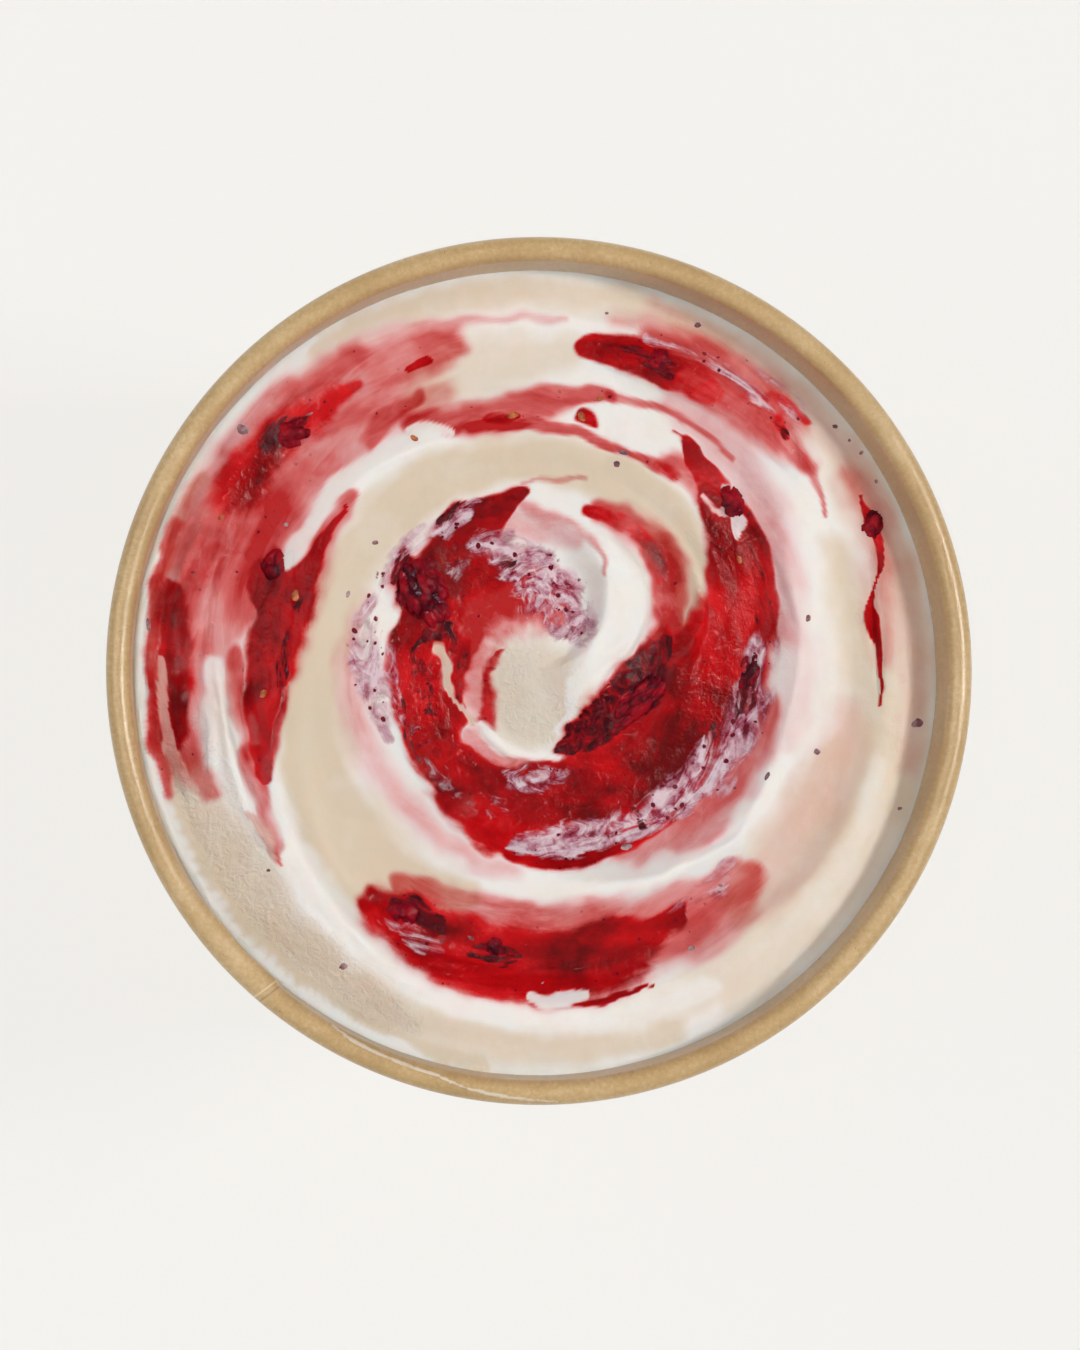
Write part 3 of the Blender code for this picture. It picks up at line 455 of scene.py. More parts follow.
def follow(knots, turn):
    """Smooth values at every turn, through knots that start with a rising turn."""
    knots = np.asarray(knots, float)
    at = np.clip(turn, knots[0, 0], knots[-1, 0])
    last = len(knots) - 1
    i = np.clip(np.searchsorted(knots[:, 0], at) - 1, 0, last - 1)
    a, b = knots[i], knots[i + 1]
    before, after = knots[np.maximum(i - 1, 0)], knots[np.minimum(i + 2, last)]
    span = b[..., :1] - a[..., :1]
    s = (at[..., None] - a[..., :1]) / span
    slope_a = (b - before) / (b[..., :1] - before[..., :1]) * span
    slope_b = (after - a) / (after[..., :1] - a[..., :1]) * span
    value = (
        a * (2 * s**3 - 3 * s**2 + 1) + b * (3 * s**2 - 2 * s**3)
        + slope_a * (s**3 - 2 * s**2 + s) + slope_b * (s**3 - s**2)
    )
    return [value[..., k] for k in range(1, knots.shape[1])]


SHUFFLE = np.random.default_rng(5).permutation(NOISE_SIZE)
GRADIENTS = np.random.default_rng(6).normal(size=(NOISE_SIZE, 3))
GRADIENTS /= np.linalg.norm(GRADIENTS, axis=1)[:, None]


def grain(points, seed=0):
    """Gradient noise from about -1 to 1, one wave to a unit, at an array of points."""
    points = points + 17.3 * seed
    cell = np.floor(points).astype(int)
    inside = points - cell
    ease = inside**3 * (inside * (inside * 6 - 15) + 10)
    total = np.zeros(len(points))
    for corner in itertools.product((0, 1), repeat=3):
        key = (cell + corner) % NOISE_SIZE
        mixed = SHUFFLE[(SHUFFLE[(SHUFFLE[key[:, 0]] + key[:, 1]) % NOISE_SIZE] + key[:, 2]) % NOISE_SIZE]
        weight = np.prod(np.where(corner, ease, 1 - ease), axis=1)
        total += weight * np.sum(GRADIENTS[mixed] * (inside - corner), axis=1)
    return total * 1.5


def rough(points, seed=0, octaves=3):
    """Gradient noise with finer waves laid over it."""
    return sum(grain(points * 2**k, seed + k) / 2**k for k in range(octaves))


def flow_at(x, y):
    """Where each point of the cream (in mm) lies along the spatula's strokes: marks that are
    round here come out as long streaks that wind with the swirl."""
    radius = np.hypot(x, y)
    turn = np.arctan2(y, x) - radius / FLOW_PITCH
    return np.stack((FLOW_PITCH * np.cos(turn), FLOW_PITCH * np.sin(turn), radius), axis=1)


def strokes_at(x, y):
    """Where each point lies round and across the turns: marks that are round here come out
    a few times longer round the tub than across it."""
    angle = np.arctan2(y, x)
    round_x, round_y = STROKE_LENGTH * np.cos(angle), STROKE_LENGTH * np.sin(angle)
    return np.stack((round_x, round_y, np.hypot(x, y)), axis=1)


def wall_inside(z):
    """Radius of the inner face of the side board, in mm, at a height in mm."""
    top = (RIM_RADIUS - BEAD + BOARD / 2) / MM
    foot = (FOOT_RADIUS - BOARD / 2) / MM
    return foot + (top - foot) * z / ((HEIGHT - BEAD / 2) / MM) - BOARD / MM / 2


def crest(knots, inner, outer, radius, angle):
    """Height of one crest that winds round the tub, with an inner and an outer side."""
    height = np.zeros_like(radius)
    for turn in (angle - 360, angle, angle + 360):
        wound = (turn > knots[0][0]) & (turn < knots[-1][0])
        at, lift = follow(knots, turn)
        away = radius - at
        side = np.where(away > 0, outer, inner)
        height += wound * lift * np.exp(-((away / side) ** 2))
    return height


def swirl(x, y):
    """Height in mm of the turned cream, in the broad form that the tub's solids have."""
    radius = np.hypot(x, y)
    angle = np.degrees(np.arctan2(y, x)) % 360
    height = np.full_like(radius, FILL_LEVEL / MM)
    for ridge in (INNER_RIDGE, OUTER_RIDGE):
        height += crest(ridge, STEEP_SIDE, GENTLE_SIDE, radius, angle)
    core = np.hypot(x - CORE_PLACE[0], y - CORE_PLACE[1]) / CORE_WIDTH
    height += CORE_LIFT * np.exp(-(core**2))
    to_wall = wall_inside(FILL_LEVEL / MM) - radius
    leaning = 0.5 + 0.5 * np.cos(np.radians(angle) - SMEAR_SIDE)
    return height + WALL_SMEAR * leaning * np.exp(-((to_wall / SMEAR_WIDTH) ** 2))


def surface(x, y):
    """Height in mm of the cream with its lips, drag marks and lumps."""
    places = np.stack((x, y, 0 * x), axis=1)
    flow = flow_at(x, y)
    angle = np.degrees(np.arctan2(y, x)) % 360
    wandering = np.hypot(x, y) + 0.4 * rough(places / 6, 3)
    broken = 0.75 + 0.35 * rough(places / 8, 4)
    height = swirl(x, y)
    for inner, outer, knots in LIPS:
        height += LIP_LIFT * broken * crest(knots, inner, outer, wandering, angle)
    lumps = 0.26 * rough(places / 8, 11) + 0.08 * rough(places / 2.4, 12)
    drag_marks = 0.10 * grain(flow / 2.2, 13) + 0.03 * grain(flow / 0.8, 14)
    return height + lumps + drag_marks


def dense(path):
    """A smear's path as closely spaced places and half widths, in mm."""
    path = np.asarray(path, float)
    steps = np.arange(0, len(path) - 1 + 1e-6, SPINE_STEP)
    turn, radius, half = follow(np.column_stack((np.arange(len(path)), path)), steps)
    angle = np.radians(turn)
    return radius * np.cos(angle), radius * np.sin(angle), np.maximum(half, THINNEST)


def reach(path, x, y):
    """Distance from each point to a smear's spine, over the smear's half width there."""
    px, py, half = dense(path)
    margin = SMEAR_REACH * half.max()
    near = (x > px.min() - margin) & (x < px.max() + margin)
    near &= (y > py.min() - margin) & (y < py.max() + margin)
    share = np.full(len(x), OUT_OF_REACH)
    places = np.flatnonzero(near)
    for part in np.array_split(places, max(1, len(places) // POINTS_AT_ONCE)):
        away = np.hypot(x[part, None] - px, y[part, None] - py)
        share[part] = np.min(away / half, axis=1)
    return share


def drift(x, y, seed):
    """How far in mm the edges of the smears wander at each point, along one axis."""
    places = np.stack((x, y, 0 * x), axis=1)
    flow, strokes = flow_at(x, y), strokes_at(x, y)
    streaks, eddies = 0.7 * grain(flow / 3.4, 21 + seed), 0.6 * rough(places / 3.6, 23 + seed, 2)
    return streaks + eddies + 0.3 * grain(strokes / 1.3, 25 + seed)


def paint(x, y):
    """How much of each coat every point carries, from 0 to 1."""
    drift_x, drift_y = drift(x, y, 0), drift(x, y, 1)
    ragged = 0.14 * rough(strokes_at(x, y) / 2.2, 27, 2)
    coats = {name: np.zeros(len(x)) for name in COATS}
    for stain, strength, soft, path in SMEARS:
        share = reach(path, x + drift_x, y + drift_y) + ragged
        cover = strength * (1 - smoothstep(1 - soft, 1 + soft, share))
        for name, amount in STAINS[stain].items():
            coats[name] += cover * (amount - coats[name])
    return coats


def clear_selection():
    if bpy.context.mode != "OBJECT":
        bpy.ops.object.mode_set(mode="OBJECT")
    bpy.ops.object.select_all(action="DESELECT")


def named(name):
    piece = bpy.context.object
    piece.name = name
    piece.data.name = name
    return piece


def corners(piece):
    """The mesh's vertices as an array of x, y, z."""
    found = np.empty(len(piece.data.vertices) * 3)
    piece.data.vertices.foreach_get("co", found)
    return found.reshape(-1, 3)


def set_corners(piece, places):
    piece.data.vertices.foreach_set("co", places.ravel())
    piece.data.update()


def smooth(piece, angle=None):
    clear_selection()
    piece.select_set(True)
    bpy.context.view_layer.objects.active = piece
    if angle:
        bpy.ops.object.shade_smooth_by_angle(angle=math.radians(angle))
    else:
        bpy.ops.object.shade_smooth()


def outwards(piece):
    """Turns every face outwards."""
    clear_selection()
    piece.select_set(True)
    bpy.context.view_layer.objects.active = piece
    bpy.ops.object.mode_set(mode="EDIT")
    bpy.ops.mesh.select_all(action="SELECT")
    bpy.ops.mesh.normals_make_consistent(inside=False)
    bpy.ops.object.mode_set(mode="OBJECT")


def slab(name, columns, rows):
    """A fine closed slab two units square, with its foot at 0 and its top at 1."""
    clear_selection()
    bpy.ops.mesh.primitive_grid_add(x_subdivisions=columns, y_subdivisions=rows, size=2)
    piece = named(name)
    bpy.ops.object.mode_set(mode="EDIT")
    bpy.ops.mesh.select_all(action="SELECT")
    bpy.ops.mesh.extrude_region_move(TRANSFORM_OT_translate={"value": (0, 0, 1)})
    bpy.ops.object.mode_set(mode="OBJECT")
    return piece


def add_coats(piece):
    """Writes the paint and the direction of flow on the mesh's points."""
    places = corners(piece) / MM
    x, y = places[:, 0], places[:, 1]
    for name, values in paint(x, y).items():
        coat = piece.data.attributes.new(name, "FLOAT", "POINT")
        coat.data.foreach_set("value", values.astype(np.float32))
    for name, values in (("flow", flow_at(x, y)), ("strokes", strokes_at(x, y))):
        drawn = piece.data.attributes.new(name, "FLOAT_VECTOR", "POINT")
        drawn.data.foreach_set("vector", values.astype(np.float32).ravel())


def cream_swirl():
    """The cream itself: a plug that fills the tub, its top turned by the spatula."""
    clear_selection()
    bpy.ops.mesh.primitive_grid_add(x_subdivisions=GRID, y_subdivisions=GRID, size=2)
    piece = named("ice_cream_swirl")
    bpy.ops.object.mode_set(mode="EDIT")
    bpy.ops.mesh.select_all(action="SELECT")
    bpy.ops.mesh.region_to_loop()
    bpy.ops.mesh.extrude_edges_move(TRANSFORM_OT_translate={"value": (0, 0, -1)})
    bpy.ops.mesh.edge_face_add()
    bpy.ops.object.mode_set(mode="OBJECT")
    square = corners(piece)
    u, v, foot = square[:, 0], square[:, 1], square[:, 2] < -0.5
    wide = np.abs(u) > np.abs(v)
    with np.errstate(divide="ignore", invalid="ignore"):
        share = np.where(wide, u, v)
        angle = np.where(wide, v / u * math.pi / 4, math.pi / 2 - u / v * math.pi / 4)
    angle = np.nan_to_num(angle)
    edge = wall_inside(FILL_LEVEL / MM)
    x, y = edge * share * np.cos(angle), edge * share * np.sin(angle)
    z = surface(x, y)
    low = (BASE_HEIGHT + BASE_BOARD / 2 + CLEARANCE) / MM
    z = np.where(foot, low, z)
    spread = 1 + (np.abs(share) ** 8) * ((wall_inside(z) + CREAM_INTO_BOARD) / edge - 1)
    spread = np.where(foot, (wall_inside(low) - CLEARANCE / MM) / edge, spread)
    set_corners(piece, np.stack((x * spread, y * spread, z), axis=1) * MM)
    outwards(piece)
    return piece


def ripple_pool(name, path, depth):
    """A pool of ripple: a thick film that lies a little proud of the cream, and whose sunken
    edge lets its stain run on into the cream."""
    length = math.radians(path[-1][0] - path[0][0]) * max(knot[1] for knot in path)
    widest = 2 * max(knot[2] for knot in path)
    along, across = POOL_SQUARES
    piece = slab(name, int(length / along), max(6, int(widest / across)))
    flat = corners(piece)
    share, side, top = flat[:, 0] / 2 + 0.5, flat[:, 1], flat[:, 2] > 0.5
    first, last = path[0][0], path[-1][0]
    turn = first + (last - first) * share

    def spine(at):
        radius, half = follow(path, at)
        angle = np.radians(at)
        return radius * np.cos(angle), radius * np.sin(angle), half

    x, y, half = spine(turn)
    ahead_x, ahead_y, _ = spine(np.minimum(turn + FILM_AIM, last))
    behind_x, behind_y, _ = spine(np.maximum(turn - FILM_AIM, first))
    length = np.hypot(ahead_x - behind_x, ahead_y - behind_y)
    across_x, across_y = -(ahead_y - behind_y) / length, (ahead_x - behind_x) / length
    ends = np.clip(np.minimum(share, 1 - share) * 7, 0, 1)
    uneven = 0.96 + 0.10 * np.sin(turn * 0.19 + side) + 0.07 * np.sin(turn * 0.47 + 2 * side)
    rounded = np.sqrt(np.maximum(1 - (1 - ends) ** 2, 0.02))
    x = x + across_x * side * half * uneven * rounded
    y = y + across_y * side * half * uneven * rounded
    middle = (1 - side**2) * rounded
    film = -FILM_SUNK + FILM_RISE * smoothstep(0, 0.7, middle)
    level = surface(x, y)
    z = np.where(top, level + film, level - FILM_EDGE - (depth - FILM_EDGE) * middle)
    set_corners(piece, np.stack((x, y, z), axis=1) * MM)
    outwards(piece)
    return piece


class Finish:
    """A material with short calls for its nodes."""

    def __init__(self, name):
        self.material = bpy.data.materials.new(name)
        self.material.use_nodes = True
        self.tree = self.material.node_tree
        self.shader = self.tree.nodes["Principled BSDF"]

    def join(self, value, socket):
        if isinstance(value, bpy.types.NodeSocket):
            self.tree.links.new(value, socket)
        else:
            socket.default_value = value

    def node(self, kind, settings=None, **inputs):
        made = self.tree.nodes.new(kind)
        for key, value in (settings or {}).items():
            setattr(made, key, value)
        for key, value in inputs.items():
            self.join(value, made.inputs[key.replace("_", " ")])
        return made

    def sum(self, operation, *values, clamp=False):
        made = self.node("ShaderNodeMath", {"operation": operation, "use_clamp": clamp})
        for value, socket in zip(values, made.inputs):
            self.join(value, socket)
        return made.outputs[0]

    def mixed(self, *parts, shift=0.0, clamp=False):
        """The sum of each value times its share, with a constant added."""
        total = shift
        for value, share in parts:
            total = self.sum("ADD", total, self.sum("MULTIPLY", value, share))
        return self.sum("ADD", total, 0.0, clamp=True) if clamp else total

    def coat(self, name):
        return self.node("ShaderNodeAttribute", {"attribute_name": name}).outputs["Fac"]

    def noise(self, where, scale, detail=4.0, roughness=0.55, distortion=0.0):
        made = self.node(
            "ShaderNodeTexNoise", Vector=where, Scale=scale, Detail=detail,
            Roughness=roughness, Distortion=distortion,
        )
        return made.outputs["Fac"]

    def warp(self, where, scale, amount):
        """Pushes places about in eddies, so that a pattern read there folds over itself."""
        eddies = self.node("ShaderNodeTexNoise", Vector=where, Scale=scale, Detail=2.0)
        push = self.node("ShaderNodeVectorMath", {"operation": "SUBTRACT"})
        self.join(eddies.outputs["Color"], push.inputs[0])
        push.inputs[1].default_value = (0.5, 0.5, 0.5)
        moved = self.node("ShaderNodeVectorMath", {"operation": "MULTIPLY_ADD"})
        self.join(push.outputs[0], moved.inputs[0])
        moved.inputs[1].default_value = (amount, amount, amount)
        self.join(where, moved.inputs[2])
        return moved.outputs[0]

    def between(self, low, high, value):
        """0 below low, 1 above high, and smooth between them."""
        made = self.node("ShaderNodeMapRange", {"interpolation_type": "SMOOTHSTEP"}, Value=value)
        made.inputs["From Min"].default_value = low
        made.inputs["From Max"].default_value = high
        return made.outputs["Result"]

    def blend(self, share, first, second, kind="MIX"):
        made = self.node("ShaderNodeMix", {"data_type": "RGBA", "blend_type": kind})
        self.join(share, made.inputs["Factor"])
        self.join(first, made.inputs[6])
        self.join(second, made.inputs[7])
        return made.outputs[2]

    def ramp(self, value, stops):
        made = self.node("ShaderNodeValToRGB", Fac=value)
        marks = made.color_ramp.elements
        while len(marks) < len(stops):
            marks.new(0.5)
        for mark, (place, colour) in zip(marks, stops):
            mark.position = place
            mark.color = colour
        return made.outputs["Color"]

    def set(self, **inputs):
        for key, value in inputs.items():
            self.join(value, self.shader.inputs[key.replace("_", " ")])

    def bump(self, height, distance, strength=1.0, under=None):
        made = self.node("ShaderNodeBump", Height=height, Distance=distance, Strength=strength)
        if under:
            self.tree.links.new(under, made.inputs["Normal"])
        return made.outputs["Normal"]


class CreamFinish(Finish):
    """The cream's finish, with the noises that its parts are mixed from."""

    def __init__(self, name):
        super().__init__(name)
        self.where = self.node("ShaderNodeTexCoord").outputs["Object"]
        self.strokes = self.node("ShaderNodeAttribute", {"attribute_name": "strokes"}).outputs["Vector"]
        flow = self.node("ShaderNodeAttribute", {"attribute_name": "flow"}).outputs["Vector"]
        self.folded = self.warp(self.warp(self.strokes, 0.26, 5.5), 0.8, 1.7)
        self.marble = self.noise(self.folded, 0.42, 4.0, 0.52)
        self.veins = self.noise(self.folded, 0.95, 4.0, 0.55)
        self.broad = self.noise(self.where, 110.0, 3.0, 0.5, 0.6)
        self.curls = self.noise(self.where, 330.0, 6.0, 0.58, 1.4)
        self.fine = self.noise(self.where, 1300.0, 4.0, 0.6, 0.6)
        self.drag = self.noise(flow, 0.55, 5.0, 0.6, 1.2)
        self.eddy = self.mixed((self.curls, 0.40), (self.marble, 0.50), (self.fine, 0.10))

    def spread(self):
        """Where the ripple lies as a pool, and where it is only washed into the cream."""
        painted = self.coat("jam")
        pool = self.between(0.26, 0.84, self.mixed((painted, 1.0), (self.eddy, 1.2), shift=-0.60))
        patchy = self.mixed((self.marble, 1.0), (self.broad, 1.1), shift=-0.05)
        stirred = self.sum("MULTIPLY", self.coat("wash"), patchy)
        halo = self.sum("MULTIPLY", painted, self.mixed((self.eddy, 1.4), shift=0.10))
        return pool, self.sum("MAXIMUM", stirred, halo, clamp=True)

    def stained(self, wash):
        """The cream's own colour, stained by the ripple that is washed into it."""
        mottle = self.mixed(
            (self.coat("melted"), 1.0), (self.broad, 0.7), (self.curls, 0.3), shift=-0.5, clamp=True
        )
        cream = self.blend(mottle, srgb(240, 237, 234), srgb(222, 206, 184))
        stain = self.ramp(wash, (
            (0.00, (1.0, 1.0, 1.0, 1)),
            (0.16, (0.95, 0.78, 0.80, 1)),
            (0.36, (0.88, 0.44, 0.45, 1)),
            (0.58, (0.77, 0.16, 0.16, 1)),
            (0.84, (0.58, 0.020, 0.022, 1)),
        ))
        return self.blend(1.0, cream, stain, "MULTIPLY")

    def ripple(self):
        """The colour of a pool, bright red where it is thin and nearly black where it is deep."""
        depth = self.mixed(
            (self.marble, 0.7), (self.broad, 1.2), (self.coat("jam"), 0.35), (self.fine, 0.15), shift=-0.82
        )
        return self.ramp(depth, (
            (0.26, (0.70, 0.012, 0.016, 1)),
            (0.44, (0.52, 0.0020, 0.0040, 1)),
            (0.60, (0.35, 0.0010, 0.0025, 1)),
            (0.80, (0.15, 0.0006, 0.0018, 1)),
        ))

    def froth(self):
        """Where froth has risen, and its pink and red marbling."""
        stretched = self.mixed((self.marble, 0.55), (self.veins, 0.45), (self.fine, 0.08), shift=-0.04)
        risen = self.mixed((self.coat("froth"), 0.42), (stretched, 1.15), shift=-0.22)
        veined = self.mixed(
            (self.veins, 1.0), (self.curls, 0.7), (self.fine, 0.2), (self.coat("froth"), 0.12), shift=-0.52
        )
        foam = self.ramp(veined, (
            (0.34, srgb(104, 10, 32)),
            (0.44, srgb(160, 74, 96)),
            (0.55, srgb(194, 148, 162)),
            (0.70, srgb(224, 202, 210)),
        ))
        return self.between(0.57, 0.82, risen), foam

    def skins(self):
        """Where skins and pulp lie in the ripple, and their colour."""
        tears = self.noise(self.folded, 1.2, 4.0, 0.56)
        torn = self.mixed((tears, 1.0), (self.curls, 0.4), (self.coat("skin"), 0.7), shift=-0.74)
        pulp = self.ramp(tears, (
            (0.36, srgb(150, 6, 18)),
            (0.48, srgb(108, 4, 16)),
            (0.62, srgb(62, 2, 12)),
        ))
        return self.between(0.34, 0.58, torn), pulp

    def bits(self, wash):
        """Where specks of fruit lie: only where there is ripple or froth."""
        swirled = self.warp(self.where, 1500.0, 0.0004)
        cells = self.node("ShaderNodeTexVoronoi", Vector=swirled, Scale=1200.0)
        lot = self.node("ShaderNodeSeparateColor", Color=cells.outputs["Color"]).outputs["Red"]
        size = self.mixed((lot, 1.2), (self.coat("froth"), 0.16), shift=-0.88)
        near = self.sum("SUBTRACT", size, cells.outputs["Distance"])
        fruit = self.sum("MAXIMUM", self.sum("MAXIMUM", wash, self.coat("jam")), self.coat("froth"))
        return self.sum("MULTIPLY", self.between(0.0, 0.12, near), self.between(0.40, 0.75, fruit))

    def wetness(self, pool, wash, skin):
        wet = self.sum("MAXIMUM", pool, self.between(0.05, 0.45, wash), clamp=True)
        return self.sum("MAXIMUM", wet, skin)

    def gloss(self, wet, froth, skin):
        """How rough the cream is to light: least where it is wet, glazed or melted."""
        matted = self.mixed(
            (froth, 0.10), (skin, 0.12), (self.coat("icy"), -0.14), (self.coat("glaze"), -0.06)
        )
        return self.mixed(
            (wet, -0.32), (self.coat("melted"), -0.12), (matted, 1.0), (self.fine, 0.08), shift=0.44
        )

    def relief(self, wet, froth, skin):
        """Frost, pulp, icy grains, a glaze's slow swells and the edges of skins, one over another."""
        frost = self.bump(self.noise(self.where, 2400.0, 3.0, 0.7), 0.00008, 0.5)
        lumps = self.noise(self.where, 620.0, 2.0, 0.45, 0.3)
        pulp = self.mixed((lumps, 0.7), (self.fine, 0.55))
        wet_only = self.mixed((wet, 0.85), shift=0.15)
        pulpy = self.bump(self.sum("MULTIPLY", pulp, wet_only), 0.00050, 0.50, frost)
        grains = self.noise(self.where, 1000.0, 3.0, 0.6, 0.8)
        icy = self.bump(self.sum("MULTIPLY", grains, self.coat("icy")), 0.0014, 0.8, pulpy)
        swell = self.noise(self.strokes, 0.36, 1.0, 0.4, 0.8)
        glaze = self.bump(self.sum("MULTIPLY", swell, self.coat("glaze")), 0.0016, 0.8, icy)
        folds = self.bump(self.mixed((self.marble, 0.6), (self.drag, 0.4)), 0.00040, 0.25, glaze)
        return self.bump(self.mixed((froth, 0.5), (skin, 0.3)), 0.00015, 0.4, folds)


def rippled_cream():
    """Cream with berry ripple: the painted coats say where each lies, and eddies of noise break
    up their borders and marble what lies inside them."""
    finish = CreamFinish("rippled_cream")
    pool, wash = finish.spread()
    froth, foam = finish.froth()
    skin, pulp = finish.skins()
    colour = finish.blend(pool, finish.stained(wash), finish.ripple())
    colour = finish.blend(froth, colour, foam)
    colour = finish.blend(skin, colour, pulp)
    colour = finish.blend(finish.bits(wash), colour, srgb(108, 8, 28))
    wet = finish.wetness(pool, wash, skin)
    finish.set(Base_Color=colour, Roughness=finish.gloss(wet, froth, skin))
    finish.set(IOR=1.40, Specular_IOR_Level=0.22)
    finish.set(Subsurface_Weight=0.45, Subsurface_Scale=0.0020, Subsurface_Radius=(1.0, 0.65, 0.5))
    finish.set(Normal=finish.relief(wet, froth, skin))
    return finish.material


def torn_berry():
    """Dark wet flesh, each drupelet ripe to its own degree and darker towards the creases between drupelets
    as painted shade, with cream dragged over its top.
    """
    finish = Finish("torn_berry")
    where = finish.node("ShaderNodeTexCoord").outputs["Object"]
    patches = finish.noise(where, 700.0, 5.0, 0.62, 1.0)
    # The drupelets' own tone, with painted shade that darkens them towards their creases
    tone = finish.mixed((patches, 0.8), (finish.coat("ripeness_and_crease_shade"), 0.5), shift=-0.08)
    flesh = finish.ramp(tone, (
        (0.28, srgb(30, 3, 14)),
        (0.46, srgb(66, 4, 20)),
        (0.62, srgb(120, 6, 24)),
        (0.80, srgb(160, 10, 28)),
    ))
    streaks = finish.noise(where, 520.0, 7.0, 0.66, 2.0)
    dragged = finish.mixed((streaks, 1.0), (finish.coat("film"), 0.5), shift=-0.5)
    milky = finish.between(0.48, 0.70, dragged)
    finish.set(Base_Color=finish.blend(milky, flesh, srgb(178, 148, 166)))
    finish.set(Roughness=finish.mixed((milky, 0.2), (patches, 0.2), shift=0.08))
    finish.set(IOR=1.42, Specular_IOR_Level=0.20)
    finish.set(Subsurface_Weight=0.12, Subsurface_Scale=0.0008)
    finish.set(Normal=finish.bump(finish.noise(where, 1700.0, 4.0, 0.6), 0.00025, 0.6))
    return finish.material


def sunken_flake():
    """Bits of skin that the cream has half covered."""
    finish = Finish("skin_flake")
    where = finish.node("ShaderNodeTexCoord").outputs["Object"]
    patches = finish.noise(where, 900.0, 4.0)
    finish.set(Base_Color=finish.ramp(patches, (
        (0.35, srgb(92, 48, 60)),
        (0.50, srgb(136, 94, 102)),
        (0.66, srgb(186, 158, 158)),
    )))
    finish.set(Roughness=0.35, IOR=1.42, Subsurface_Weight=0.2, Subsurface_Scale=0.0008)
    return finish.material


def seam_line(finish, where, start):
    """1 on a thin line that crosses the bead aslant where the wrapped board ends."""
    parts = finish.node("ShaderNodeSeparateXYZ", Vector=where).outputs
    angle = finish.sum("ARCTAN2", parts["Y"], parts["X"])
    flat = finish.node("ShaderNodeCombineXYZ", X=parts["X"], Y=parts["Y"])
    length = finish.node("ShaderNodeVectorMath", {"operation": "LENGTH"})
    finish.join(flat.outputs[0], length.inputs[0])
    radius = length.outputs["Value"]
    past = finish.mixed((angle, 1.0), shift=-math.radians(start - 360))
    along = finish.sum("MULTIPLY", past, radius)
    aslant = finish.mixed((along, 1.0), (radius, SEAM_SLANT), shift=-SEAM_SLANT * (RIM_RADIUS - BEAD))
    off = finish.sum("ABSOLUTE", aslant)
    on_top = finish.between(HEIGHT - 0.8 * BEAD, HEIGHT - 0.6 * BEAD, parts["Z"])
    line = finish.mixed((finish.between(SEAM_WIDTH / 2, SEAM_WIDTH, off), -1.0), shift=1.0)
    return finish.sum("MULTIPLY", line, on_top)


def kraft_board():
    """Unbleached board: pale and brown fibres, the seam's line over the bead, and a trace of cream
    where it was touched."""
    finish = Finish("kraft_board")
    where = finish.node("ShaderNodeTexCoord").outputs["Object"]
    clouds = finish.noise(where, 75.0, 4.0)
    stretched = finish.node("ShaderNodeMapping", Vector=where)
    stretched.inputs["Scale"].default_value = (1.0, 1.0, 0.22)
    fibres = finish.noise(stretched.outputs["Vector"], 1900.0, 5.0, 0.7, 0.4)
    flecks = finish.noise(stretched.outputs["Vector"], 1500.0, 2.0, 0.5, 1.0)
    tone = finish.mixed((clouds, 0.5), (fibres, 0.5))
    colour = finish.ramp(tone, (
        (0.34, srgb(180, 147, 98)),
        (0.50, srgb(199, 166, 115)),
        (0.66, srgb(218, 190, 145)),
    ))
    colour = finish.blend(finish.between(0.70, 0.78, flecks), colour, srgb(172, 130, 84))
    gap = finish.mixed((seam_line(finish, where, SEAM_GAP), 0.55))
    colour = finish.blend(gap, colour, srgb(150, 118, 80))
    cut_edge = finish.mixed((seam_line(finish, where, SEAM_EDGE), 0.6))
    colour = finish.blend(cut_edge, colour, srgb(238, 220, 186))
    dabs = finish.noise(where, 500.0, 5.0, 0.6, 1.0)
    touched = finish.mixed((dabs, 1.2), (finish.coat("trace"), 0.75), shift=-0.70)
    milky = finish.mixed((finish.between(0.32, 0.62, touched), 0.7))
    finish.set(Base_Color=finish.blend(milky, colour, srgb(236, 228, 216)))
    finish.set(Roughness=finish.mixed((milky, -0.10), (fibres, 0.16), shift=0.28), IOR=1.5)
    finish.set(Coat_Weight=0.5, Coat_Roughness=0.32)
    board = finish.bump(fibres, 0.00008, 0.35)
    finish.set(Normal=finish.bump(milky, 0.00015, 0.6, board))
    return finish.material


def orange_seed():
    finish = Finish("berry_seed")
    where = finish.node("ShaderNodeTexCoord").outputs["Object"]
    shade = finish.noise(where, 1500.0, 3.0)
    finish.set(Base_Color=finish.ramp(shade, ((0.35, srgb(150, 62, 30)), (0.65, srgb(206, 122, 72)))))
    finish.set(Roughness=0.22, IOR=1.45, Subsurface_Weight=0.15, Subsurface_Scale=0.0006)
    return finish.material


def use(piece, material):
    piece.data.materials.clear()
    piece.data.materials.append(material)


